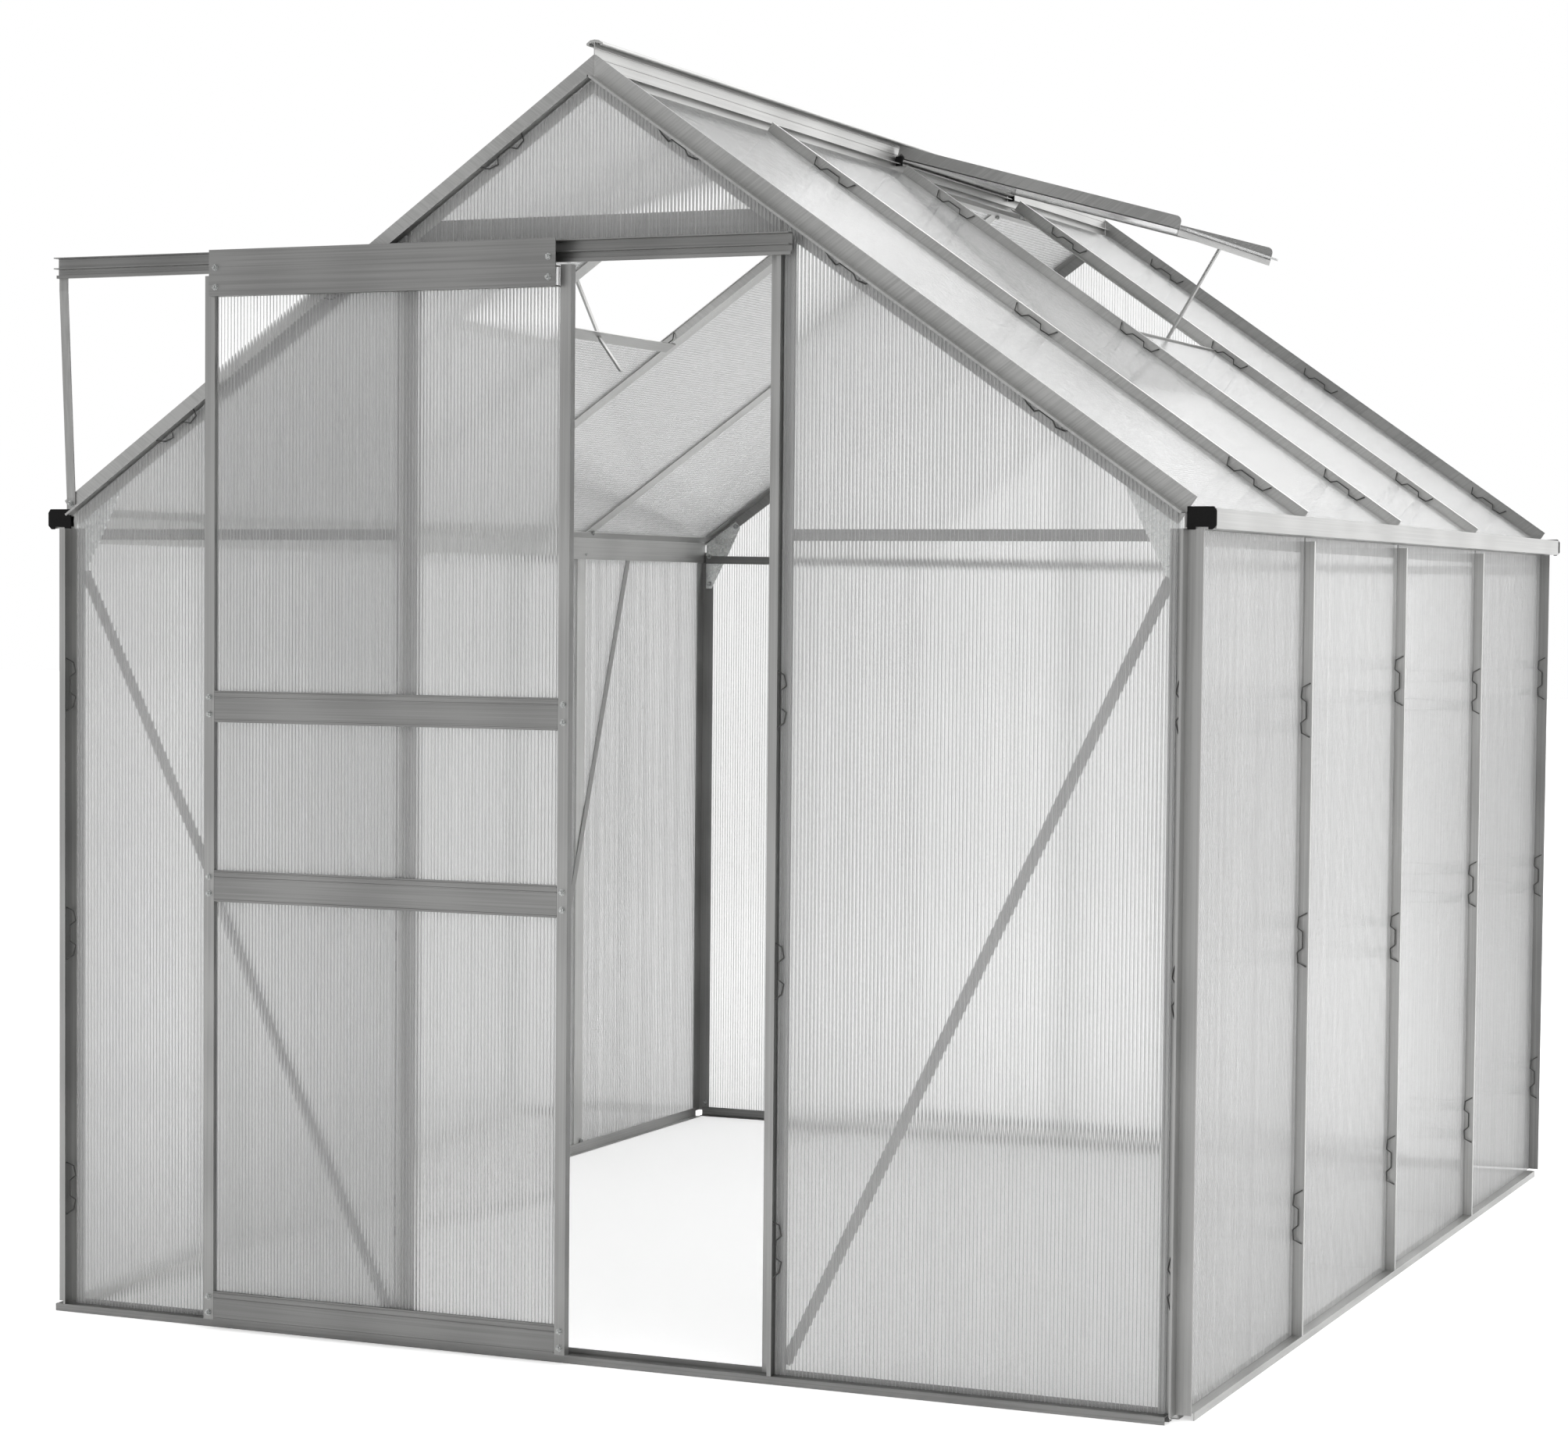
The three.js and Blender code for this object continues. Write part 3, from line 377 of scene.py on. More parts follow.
def clear_plastic(name, turn, per_metre, dark, light):
    material, tree, shader, place = start_material(name, 0.0, 0.2, turn, PLASTIC_IOR)
    values = {"Vector": place, "Per Metre": per_metre, "Pull": 0.003, "Cloud": 1.6}
    out = use_group(tree, streaks, values)
    tree.links.new(blend_colours(tree, out["Streak"], dark, light), shader.inputs["Base Color"])
    return material, tree, shader, out, place


def skin_finish(name, turn):
    shades = ((0.95, 0.955, 0.952), (1.0, 1.0, 1.0))
    material, tree, shader, out, place = clear_plastic(name, turn, 60.0, *shades)
    shader.inputs["Transmission Weight"].default_value = 1 - MILKY_SHARE
    tree.links.new(spread(tree, out["Cloud"], 0.02, 0.08), shader.inputs["Roughness"])
    bulge = use_group(tree, ribbed, {"Vector": place})["Bulge"]
    uneven = node(tree, "Math", {0: out["Streak"], 1: UNEVEN}, operation="MULTIPLY").outputs[0]
    height = node(tree, "Math", {0: bulge, 1: uneven}, operation="ADD").outputs[0]
    bump(tree, shader, height, 1.0, BULGE_HEIGHT)
    return material


def rib_finish(name, turn):
    shades = ((0.72, 0.73, 0.725), (1.0, 1.0, 1.0))
    material, tree, shader, out, _ = clear_plastic(name, turn, 130.0, *shades)
    tree.links.new(spread(tree, out["Streak"], 0.15, 0.85), shader.inputs["Alpha"])
    tree.links.new(spread(tree, out["Cloud"], 0.2, 0.36), shader.inputs["Roughness"])
    return material


def twin_wall_finish(name, turn=(0, 0, 0)):
    return [skin_finish(name + " skin", turn), rib_finish(name + " rib", turn)]


# %% [markdown]
# The sheets of the roof and of the vents were extruded down their slopes, so their pattern is turned
# the same way as the metal's. A vent leans less than the roof, and its tilt is read from its own broad
# face.

# %% Sheet finishes
upright_sheet = twin_wall_finish("upright sheet")
vent_tilt = {
    way: broad_normal(f"{side}_roof_vent")[0].angle(Z)
    for side, way in SIDES
}
slope_sheet = {
    way: twin_wall_finish(f"{side} slope sheet", (0, -way * (QUARTER - slope), 0))
    for side, way in SIDES
}
vent_sheet = {
    way: twin_wall_finish(f"{side} vent pane", (0, -way * (QUARTER - vent_tilt[way]), 0))
    for side, way in SIDES
}
print("vents tilt:", {way: round(math.degrees(tilt), 1) for way, tilt in vent_tilt.items()})

# %% [markdown]
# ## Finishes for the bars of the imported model
# The bars, sills, rails and gutters have their true cross sections already. They could be modelled
# again here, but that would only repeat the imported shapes, so they stay as they are. Each gets the
# aluminium that was drawn along its own length, which its name tells.

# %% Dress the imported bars


def dress(node_name, material):
    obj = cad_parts[node_name]
    obj.data.materials.clear()
    obj.data.materials.append(material)


def pull_for(name):
    way = -1 if "left" in name else 1
    if "rafter" in name:
        return pull_slope[way]
    if "roof_bar" in name:
        return painted_light_slope[way]
    if "wall_bar" in name:
        return painted_light_z
    if name in ("left_sill", "right_sill", "ridge") or "gutter" in name or "vent_sill" in name:
        return pull_y
    if any(word in name for word in ("_sill", "rail", "track", "head_bar", "hanger", "tie")):
        return pull_x
    return pull_z


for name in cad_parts:
    dress(name, pull_for(name))
dress("track_strut", pull_z)
print("dressed:", len(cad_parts))

# %% [markdown]
# ## Making pieces
# A piece is modelled in a bmesh, given outward faces, and put at the origin with its place in its mesh.
# The object could be moved into place instead, but then its pattern and its joint would have to follow,
# so the mesh carries the place.

# %% Piece helper


def piece(name, bm, materials, body="frame", replaces=()):
    bmesh.ops.recalc_face_normals(bm, faces=bm.faces[:])
    mesh = bpy.data.meshes.new(name)
    bm.to_mesh(mesh)
    bm.free()
    for material in materials:
        mesh.materials.append(material)
    obj = bpy.data.objects.new(name, mesh)
    bpy.context.scene.collection.objects.link(obj)
    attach(obj, body)
    if replaces:
        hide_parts(*replaces)
    return obj


# %% [markdown]
# Most pieces here are sheet metal or extrusions, so the main tool is an outline pushed along one
# direction. A scaled cube would do for plain plates, but an outline also takes chamfers, notches and
# hooks. Round bars are cylinders laid between two points.

# %% Prism and rod helpers


def axes(origin, u, v):
    """The place of a plane: u and v lie in it, and its third direction is u x v."""
    return Matrix.Translation(origin) @ Matrix((u, v, u.cross(v))).transposed().to_4x4()


def push(bm, faces, direction):
    """Extrudes flat faces into closed solids."""
    grown = bmesh.ops.extrude_face_region(bm, geom=faces)["geom"]
    verts = [g for g in grown if isinstance(g, bmesh.types.BMVert)]
    bmesh.ops.translate(bm, verts=verts, vec=direction)


def prism(bm, place, outline, depth, soft=0.0):
    corners = [bm.verts.new(place @ Vector((u, v, 0))) for u, v in outline]
    face = bm.faces.new(corners)
    before = set(bm.edges) - set(face.edges)
    push(bm, [face], place.to_3x3() @ Vector((0, 0, depth)))
    if soft:
        made = [e for e in bm.edges if e not in before]
        bmesh.ops.bevel(
            bm, geom=made, offset=soft, affect="EDGES", segments=2, profile=0.5, material=-1
        )


def rectangle(u0, u1, v0, v1):
    return [(u0, v0), (u1, v0), (u1, v1), (u0, v1)]


def rod(bm, start, end, radius, sides=12):
    way = end - start
    turn = way.to_track_quat("Z", "Y").to_matrix().to_4x4()
    bmesh.ops.create_cone(
        bm,
        cap_ends=True,
        segments=sides,
        radius1=radius,
        radius2=radius,
        depth=way.length,
        matrix=Matrix.Translation((start + end) / 2) @ turn,
    )


# %% [markdown]
# ## The twin-wall sheets
# A real sheet is two skins joined by ribs every few millimetres. Its channels could be cut out of a
# slab, but light would then cross four bending faces, which takes twice as long to render for the same
# look. So the sheet is one closed slab, and its ribs are upright strips inside it. A grid with one
# column for each rib is split into loose strips, each strip is narrowed to a rib's thickness, and all
# are pushed out together. Sloping edges are cut with a plane while everything is flat, which leaves
# every solid closed after the push.

# %% Sheet builder
SKIN = 0.0004
RIB = 0.0005


def sheet_layer(bm, place, size, count, share, lift, depth, cuts, finish):
    layer = bmesh.new()
    bmesh.ops.create_grid(layer, x_segments=count, y_segments=1, size=0.5)
    inner = [e for e in layer.edges if len(e.link_faces) == 2]
    bmesh.ops.split_edges(layer, edges=inner)
    for face in layer.faces:
        at = Matrix.Translation(-face.calc_center_median())
        bmesh.ops.scale(layer, verts=face.verts, vec=(share, 1, 1), space=at)
        face.material_index = finish
    middle_of = Matrix.Translation((size[0] / 2, size[1] / 2, lift))
    spread_out = middle_of @ Matrix.Diagonal((size[0], size[1], 1, 1))
    bmesh.ops.transform(layer, matrix=place @ spread_out, verts=layer.verts)
    for point, outward in cuts:
        whole = layer.verts[:] + layer.edges[:] + layer.faces[:]
        bmesh.ops.bisect_plane(layer, geom=whole, plane_co=point, plane_no=outward, clear_outer=True)
    push(layer, layer.faces[:], place.to_3x3() @ Vector((0, 0, depth)))
    scratch = bpy.data.meshes.new("layer")
    layer.to_mesh(scratch)
    layer.free()
    bm.from_mesh(scratch)
    bpy.data.meshes.remove(scratch)


def twin_wall(name, corner, across, along, size, finishes, replaces, cuts=(), body="frame"):
    """A sheet whose inner face has the given corner; its ribs run along the second direction."""
    bm = bmesh.new()
    place = axes(corner, across, along)
    ribs = round(size[0] / RIB_PITCH)
    sheet_layer(bm, place, size, 1, 1, 0, SHEET, cuts, 0)
    share = RIB * ribs / size[0]
    sheet_layer(bm, place, size, ribs, share, SKIN, SHEET - 2 * SKIN, cuts, 1)
    return piece(name, bm, finishes, body, [replaces])


# %% [markdown]
# Each long wall and each slope has four sheets between the fins of its bars. One long sheet with slots
# would be simpler, but the bars' fins really part the sheets. The direction across the ribs is chosen
# so that the third direction points out of the greenhouse.

# %% Wall and roof sheets
y_low, y_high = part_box("right_roof_sheets")[0].y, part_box("right_roof_sheets")[1].y
edges_y = [y_low] + [y + side * BAR_ROOM for y in bar_ys for side in (-1, 1)] + [y_high]
bays = list(zip(edges_y[::2], edges_y[1::2]))

for side, way in SIDES:
    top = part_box(f"{side}_wall_sheets")[1].z
    for n, (y0, y1) in enumerate(bays, 1):
        corner = Vector((way * (half + GAP), y0 if way > 0 else y1, stand))
        size = (y1 - y0, top - stand)
        name = f"{side}_wall_sheet_{n}"
        twin_wall(name, corner, Y * way, Z, size, upright_sheet, f"{side}_wall_sheets")

for side, way in SIDES:
    corners = [v.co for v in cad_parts[f"{side}_roof_sheets"].data.vertices]
    reach = [(c.y, (c - Vector((0, 0, ridge_seat))).dot(down_of(way))) for c in corners]
    foot = max(s for _, s in reach)
    for n, (y0, y1) in enumerate(bays, 1):
        head = min(s for y, s in reach if y0 - GAP < y < y1 + GAP)
        corner = on_roof(way, foot, y0 if way > 0 else y1, GAP)
        size = (y1 - y0, foot - head)
        name = f"{side}_roof_sheet_{n}"
        twin_wall(name, corner, Y * way, -down_of(way), size, slope_sheet[way], f"{side}_roof_sheets")
print("sheets in walls and roof:", 4 * len(bays))

# %% [markdown]
# ## Gable and door sheets
# The gables' sheets are cut to the slope at a constant distance below the roof's seat. The cut could be
# an outline worked out corner by corner, but a plane trims slab and ribs in one go. The rear gable has
# three sheets between its two mullions, and the door's sheet slides with the door.

# %% Gable and door sheets
EDGE_ROOM = METAL + 0.0022  # from the roof's seat to the cut edge of a gable's sheet


def slope_cut(way):
    return (Vector((0, 0, ridge_seat)) - normal_of(way) * EDGE_ROOM, normal_of(way))


for side, way in SIDES:
    low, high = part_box(f"front_{side}_sheet")
    corner = Vector((low.x, front - GAP, low.z))
    size = (high.x - low.x, high.z - low.z)
    node_name = f"front_{side}_sheet"
    twin_wall(f"front_{side}_pane", corner, X, Z, size, upright_sheet, node_name, [slope_cut(way)])

low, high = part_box("gable_sheet")
both_cuts = [slope_cut(way) for _, way in SIDES]
corner = Vector((low.x, front - GAP, low.z))
size = (high.x - low.x, high.z - low.z)
twin_wall("gable_pane", corner, X, Z, size, upright_sheet, "gable_sheet", both_cuts)

low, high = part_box("rear_sheets")
edges_x = [low.x, -jamb - BAR_ROOM, -jamb + BAR_ROOM, jamb - BAR_ROOM, jamb + BAR_ROOM, high.x]
for label, x0, x1 in zip(("left", "middle", "right"), edges_x[::2], edges_x[1::2]):
    corner = Vector((x1, rear + GAP, low.z))
    size = (x1 - x0, high.z - low.z)
    twin_wall(f"rear_{label}_pane", corner, -X, Z, size, upright_sheet, "rear_sheets", both_cuts)

low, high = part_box("door_sheet")
size = (high.x - low.x, high.z - low.z)
corner = Vector((low.x, high.y, low.z))
twin_wall("door_pane", corner, X, Z, size, upright_sheet, "door_sheet", body="door")
print("gable, rear and door sheets:", 7)

# %% [markdown]
# ## The roof vents
# An open vent is a frame of two side rails, a hinge rail that hooks over the ridge's ledge and a rail
# with a hanging lip along the free edge, with a pane that runs past that edge. The frame could be four
# mitred bars, but in the real one each rail is a plain extrusion and they overlap at the corners, so
# each is made of prisms. Seen along the ridge, a rail is an outline, and the rounded end of its fin is
# an arc.

# %% Vent frames and panes
VENT_OVERHANG = 0.014  # pane past the free edge
VENT_FIN = 0.022
VENT_SEAT = 0.018
VENT_LIP = 0.012
VENT_CORNER = 0.010
HOOK = 0.007  # radius of the hinge rail's bulb


def arc(centre, radius, start, end, steps=8):
    turns = (start + (end - start) * n / steps for n in range(steps + 1))
    return [(centre[0] + radius * math.cos(t), centre[1] + radius * math.sin(t)) for t in turns]


for side, way in SIDES:
    node_name = f"{side}_roof_vent"
    normal, pane_top = broad_normal(node_name)
    down = down_of(way, vent_tilt[way])
    corners = [v.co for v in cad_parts[node_name].data.vertices]
    start = min(c.dot(down) for c in corners)
    length = max(c.dot(down) for c in corners) - start - VENT_OVERHANG
    low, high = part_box(node_name)
    origin = normal * (pane_top - SHEET) + down * start
    bm = bmesh.new()
    fin = [(0, -METAL), (length, -METAL)]
    fin += arc((length - VENT_CORNER, VENT_FIN - VENT_CORNER), VENT_CORNER, 0, QUARTER, 5)
    fin += [(0, VENT_FIN)]
    side_on = down.cross(normal).y  # +1 or -1: the way that a profile is pushed along the ridge

    def along_ridge(outline, y0, y1, soft=0.0):
        at = origin + Y * (y0 if side_on > 0 else y1)
        prism(bm, axes(at, down, normal), outline, y1 - y0, soft)

    along_ridge(fin, low.y, low.y + METAL)
    along_ridge(fin, high.y - METAL, high.y)
    seat = rectangle(0, length, -METAL, 0)
    along_ridge(seat, low.y, low.y + VENT_SEAT)
    along_ridge(seat, high.y - VENT_SEAT, high.y)
    hook = arc((HOOK, 0), HOOK, -QUARTER, QUARTER * 2.4, 12)
    hook += [(HOOK * 0.55, HOOK * 0.4), (HOOK * 0.6, -HOOK)]
    along_ridge(hook, low.y, high.y)
    lip = rectangle(length - METAL, length, -VENT_LIP, 0)
    along_ridge(lip, low.y, high.y)
    along_ridge(rectangle(length - VENT_SEAT, length, -METAL, 0), low.y, high.y)
    piece(f"{side}_vent_frame", bm, [pull_slope[way]], replaces=[node_name])
    y0, y1 = low.y + METAL, high.y - METAL
    corner = origin + down * (length + VENT_OVERHANG) + Y * (y0 if way > 0 else y1) + normal * GAP
    size = (y1 - y0, length + VENT_OVERHANG - 2 * HOOK)
    twin_wall(f"{side}_vent_pane", corner, Y * way, -down, size, vent_sheet[way], node_name)
    print(node_name, "opens to", round(math.degrees(slope - vent_tilt[way]), 1), "degrees off the roof")

# %% [markdown]
# ## Ties and gussets
# Across each gable, at the height of the eaves, runs a flat tie, and a bright zinc gusset binds rafter,
# post and tie. They could stay one solid as packed, but the two metals differ, and the gusset is what
# catches the eye in the doorway: so the tie is drawn bar, and the gusset is a plate with softened
# edges.

# %% Ties and gussets
BEHIND = METAL + GAP  # a face bolted behind a seat
GUSSET_OUTER = 0.0088  # from the side wall's seat
GUSSET_DROP = 0.082  # below the eaves
GUSSET_FOOT = 0.014  # width at its foot and at its tip
GUSSET_KNEE = (0.063, 0.006)  # the inner corner, from the side wall's seat and below the eaves
GUSSET_ARM = 0.093  # reach from the side wall's seat
GUSSET_END = 0.030  # lower corner at its tip, below the roof's seat
GUSSET_EDGE = 0.008  # upper edge, below the roof's seat
TIE_HEIGHT = 0.0175
FRONT_TIE_DROPS = (0.001, 0.001)  # upper edge below the eaves, at the left and at the right end
REAR_TIE_DROPS = (0.008, 0.026)
arm = half - GUSSET_ARM
tip = arm + GUSSET_FOOT * math.cos(slope)
outer = half - GUSSET_OUTER
gusset_outline = [
    (outer, eave - GUSSET_DROP),
    (outer - GUSSET_FOOT, eave - GUSSET_DROP),
    (half - GUSSET_KNEE[0], eave - GUSSET_KNEE[1]),
    (arm, seat_height(arm) - GUSSET_END),
    (tip, seat_height(tip) - GUSSET_EDGE),
    (outer, seat_height(outer) - GUSSET_EDGE),
]


def gable_plate(bm, outline, seat, inward, depth, thick, soft=0.0):
    """A plate behind a gable's seat, its outline given as (x, z)."""
    near = seat + inward * depth
    far = near + inward * thick
    prism(bm, axes(Vector((0, max(near, far), 0)), X, Z), outline, thick, soft)


for end, seat, inward in (("front", front, 1), ("rear", rear, -1)):
    for side, way in SIDES:
        bm = bmesh.new()
        outline = [(way * x, z) for x, z in gusset_outline]
        gable_plate(bm, outline, seat, inward, BEHIND, METAL, 0.0004)
        tie_node = f"front_{side}_tie" if end == "front" else "rear_tie"
        piece(f"{end}_{side}_gusset", bm, [zinc], replaces=[tie_node])


TIE_GAP = 0.0022  # past the middle of a jamb
ties = [
    ("front_left_tie", -outer, -jamb - TIE_GAP),
    ("front_right_tie", jamb + TIE_GAP, outer),
    ("rear_tie", -outer, outer),
]
for node_name, x0, x1 in ties:
    seat, inward = (front, 1) if node_name.startswith("front") else (rear, -1)
    z0, z1 = (eave - drop for drop in (FRONT_TIE_DROPS if inward > 0 else REAR_TIE_DROPS))
    bm = bmesh.new()
    outline = [(x0, z0 - TIE_HEIGHT), (x1, z1 - TIE_HEIGHT), (x1, z1), (x0, z0)]
    gable_plate(bm, outline, seat, inward, BEHIND + METAL + GAP, METAL, 0.0003)
    piece(f"{node_name}_strap", bm, [pull_x], replaces=[node_name])
print("gussets: 4, ties:", len(ties))

# %% [markdown]
# ## Bolts
# The frame is held by small hexagon-headed bolts on washers, each with a stub of thread that stands
# out. The heads could be bump, but they catch the light from every side, so they are real: a six-sided
# cylinder with a bevel on a round washer, made where it sits and turned to the way the bolt points.

# %% Bolt helper
HEAD = 0.0042  # radius over the corners
HEAD_HEIGHT = 0.0034
HEAD_EDGE = 0.0005
WASHER = 0.0052  # radius
WASHER_THICK = 0.001
THREAD = 0.0026  # radius
THREAD_STUB = 0.0035


def bolt(bm, at, way):
    turn = way.to_track_quat("Z", "Y").to_matrix().to_4x4()
    head = bmesh.ops.create_cone(
        bm,
        cap_ends=True,
        segments=6,
        radius1=HEAD,
        radius2=HEAD,
        depth=HEAD_HEIGHT,
        matrix=Matrix.Translation(at + way * (WASHER_THICK + HEAD_HEIGHT / 2)) @ turn,
    )
    edges = list({e: None for v in head["verts"] for e in v.link_edges})
    bmesh.ops.bevel(
        bm, geom=edges, offset=HEAD_EDGE, affect="EDGES", segments=1, profile=0.5, material=-1
    )
    rod(bm, at, at + way * WASHER_THICK, WASHER, 18)
    rod(bm, at + way * HEAD_HEIGHT, at + way * (HEAD_HEIGHT + THREAD_STUB), THREAD, 10)


def bolts(name, places, body="frame"):
    bm = bmesh.new()
    for at, way in places:
        bolt(bm, at, way)
    return piece(name, bm, [plated], body)


# %% [markdown]
# ## Where the bolts sit
# Bolts sit where two bars cross: the gussets' three corners, the ends of the ties, the foot and head of
# every bar, and the foot of the strut. A list of finished points would be shorter, but each bolt
# belongs to an edge, so its place is that edge and a distance from it. Those behind a sheet point
# inwards, and the one in the open points out.

# %% Frame bolts
FACE = 0.0053  # inner face of a gusset and its tie, behind the seat
places = []
for seat, inward in ((front, 1), (rear, -1)):
    for _, way in SIDES:
        spots = [
            (way * (outer - 0.008), eave - GUSSET_DROP + 0.011),
            (way * (outer - 0.008), eave - 0.010),
            (way * (arm + 0.012), seat_height(arm + 0.012) - 0.019),
        ]
        for x, z in spots:
            places.append((Vector((x, seat + inward * FACE, z)), Y * inward))
        places.append((Vector((way * (jamb + 0.011), seat + inward * FACE, eave - 0.010)), Y * inward))
        for x, z in ((jamb + 0.014, 0.040), (half - 0.018, 0.030)):
            places.append((Vector((way * x, seat + inward * BEHIND, z)), Y * inward))
bolts("gable_bolts", places)
print("bolts in the gables:", len(places))

places = []
for _, way in SIDES:
    for y in bar_ys:
        for z in (stand + 0.012, eave - 0.014):
            places.append((Vector((way * (half - BEHIND), y + 0.010, z)), -X * way))
        for s in (0.034, (half - 0.02) / math.cos(slope)):
            places.append((on_roof(way, s, y + 0.010, -BEHIND), -normal_of(way)))
bolts("side_bolts", places)
print("bolts in walls and roof:", len(places))

strut_low, strut_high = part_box("track_strut")
strut_middle = (strut_low.x + strut_high.x) / 2
places = [(Vector((strut_middle, front - 0.0023, strut_low.z + 0.009)), -Y)]
bolts("strut_bolt", places)

# %% [markdown]
# ## Glazing clips
# Spring wire clips hold each sheet down: the wire hooks under the lip of a fin, dips to the sheet,
# rises to a straight middle and dips again. It could be a chain of cylinders, but their joints would
# show, and a curve with a round bevel is exactly a bent wire. Each clip is a spline of its own, so all
# the clips along one run are one piece.

# %% Clip helper
CLIP_WIRE = 0.00115  # radius
CLIP_SHAPE = (  # along the fin, away from it, off the seat
    (-0.043, 0.0022, 0.0175),
    (-0.036, 0.0090, 0.0062),
    (-0.020, 0.0125, 0.0056),
    (-0.013, 0.0060, 0.0125),
    (0.013, 0.0060, 0.0125),
    (0.020, 0.0125, 0.0056),
    (0.036, 0.0090, 0.0062),
    (0.043, 0.0022, 0.0175),
)


def clips(name, places):
    """A place is a point on the seat at the fin, the fin's direction, the way to the sheet, and outwards."""
    curve = bpy.data.curves.new(name, "CURVE")
    curve.dimensions = "3D"
    curve.bevel_depth = CLIP_WIRE
    curve.bevel_resolution = 1
    curve.use_fill_caps = True
    for at, run, away, out in places:
        spline = curve.splines.new("POLY")
        spline.points.add(len(CLIP_SHAPE) - 1)
        for point, (t, u, w) in zip(spline.points, CLIP_SHAPE):
            point.co = (*(at + run * t + away * u + out * w), 1)
    curve.materials.append(wire)
    obj = bpy.data.objects.new(name, curve)
    bpy.context.scene.collection.objects.link(obj)
    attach(obj, "frame")
    return obj


# %% [markdown]
# ## Where the clips sit
# Three clips hold each edge of a sheet, on the walls, on the roof and under the rafters. Even rows
# would look machine-made, so the heights differ a little from bar to bar, as they do when someone
# presses each clip on by hand. A sine of the bar's number gives that, and gives the same each time.

# %% Clips on walls, roof and gables
WALL_CLIPS = (0.15, 0.48, 0.80)  # as a share of the wall's height
ROOF_CLIPS = (0.14, 0.50, 0.88)  # as a share of the slope
wall_height = eave - stand
slope_length = half / math.cos(slope)

for side, way in SIDES:
    places = []
    for n, y in enumerate(bar_ys):
        for m, share in enumerate(WALL_CLIPS):
            z = stand + wall_height * (share + 0.02 * math.sin(3 * n + 2 * m))
            for away in (-1, 1):
                places.append((Vector((way * half, y, z)), Z, Y * away, X * way))
    for share in WALL_CLIPS:
        z = stand + wall_height * share
        places.append((Vector((way * half, front, z)), Z, Y, X * way))
        places.append((Vector((way * half, rear, z)), Z, -Y, X * way))
    clips(f"{side}_wall_clips", places)
    places = []
    for n, y in enumerate(bar_ys):
        for m, share in enumerate(ROOF_CLIPS):
            s = slope_length * (share + 0.02 * math.sin(5 * n + m))
            for away in (-1, 1):
                places.append((on_roof(way, s, y), down_of(way), Y * away, normal_of(way)))
    for share in ROOF_CLIPS:
        places.append((on_roof(way, slope_length * share, front), down_of(way), Y, normal_of(way)))
        places.append((on_roof(way, slope_length * share, rear), down_of(way), -Y, normal_of(way)))
    clips(f"{side}_roof_clips", places)
    places = []
    for seat, out in ((front, -Y), (rear, Y)):
        for share in WALL_CLIPS:
            z = stand + wall_height * share
            places.append((Vector((way * half, seat, z)), Z, -X * way, out))
            places.append((Vector((way * jamb, seat, z)), Z, X * way, out))
        for s in (0.16, 0.45, 0.78):
            at = Vector((0, seat, ridge_seat)) + down_of(way) * slope_length * s
            places.append((at, down_of(way), -normal_of(way), out))
    clips(f"{side}_gable_clips", places)
print("clip runs:", 6)

# %% [markdown]
# ## Gutter caps
# Each end of a gutter is closed by a black moulded cap: a plate with cut corners, a notch below, and a
# rim that grips the channel. It could be a cube with cuts, but all its features lie in one outline, so
# the plate is that outline pushed, and the rim is a second prism a little smaller that enters the
# gutter.

# %% Gutter end caps
CAP_RISE = 0.0315
CAP_CHAMFER = 0.006
CAP_PLATE = 0.0032
CAP_RIM = 0.012  # how far the rim enters
CAP_NOTCH = 0.004
CAP_LAP = 0.0015  # past the gutter's outer faces

for side, way in SIDES:
    low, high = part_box(f"{side}_gutter")
    reach = max(abs(low.x), abs(high.x)) + CAP_LAP
    inner = half - 0.001
    floor_z = eave - CAP_LAP
    top_z = floor_z + CAP_RISE + CAP_LAP
    notch = (inner + (reach - inner) * 0.28, inner + (reach - inner) * 0.72)
    outline = [
        (inner, floor_z),
        (notch[0], floor_z),
        (notch[0], floor_z + CAP_NOTCH),
        (notch[1], floor_z + CAP_NOTCH),
        (notch[1], floor_z),
        (reach - CAP_CHAMFER, floor_z),
        (reach, floor_z + CAP_CHAMFER),
        (reach, top_z - CAP_CHAMFER),
        (reach - CAP_CHAMFER * 0.7, top_z),
        (inner, top_z),
    ]
    outline = [(way * x, z) for x, z in outline]
    rim = rectangle(inner + 0.004, reach - 0.005, floor_z + 0.005, top_z - 0.006)
    rim = [(way * x, z) for x, z in rim]
    for end, seat, out in (("front", front, -1), ("rear", rear, 1)):
        bm = bmesh.new()
        far = seat + out * (CAP_PLATE + GAP)
        prism(bm, axes(Vector((0, max(far, seat + out * GAP), 0)), X, Z), outline, CAP_PLATE, 0.0007)
        deep = seat - out * CAP_RIM
        prism(bm, axes(Vector((0, max(deep, seat), 0)), X, Z), rim, CAP_RIM, 0.0004)
        piece(f"{end}_{side}_gutter_cap", bm, [black])
print("gutter caps:", 4)

# %% [markdown]
# ## Ridge details
# Under the ridge's cap each side of the web carries small round beads, drawn with the bar, and the
# cap's edges are rolled. Bump would vanish at the flat angle from which a ridge is seen, so thin rods
# half sunk in the web give both the light line and the shadow below it. Black end pieces stop the hinge
# ledge on both sides of a vent.

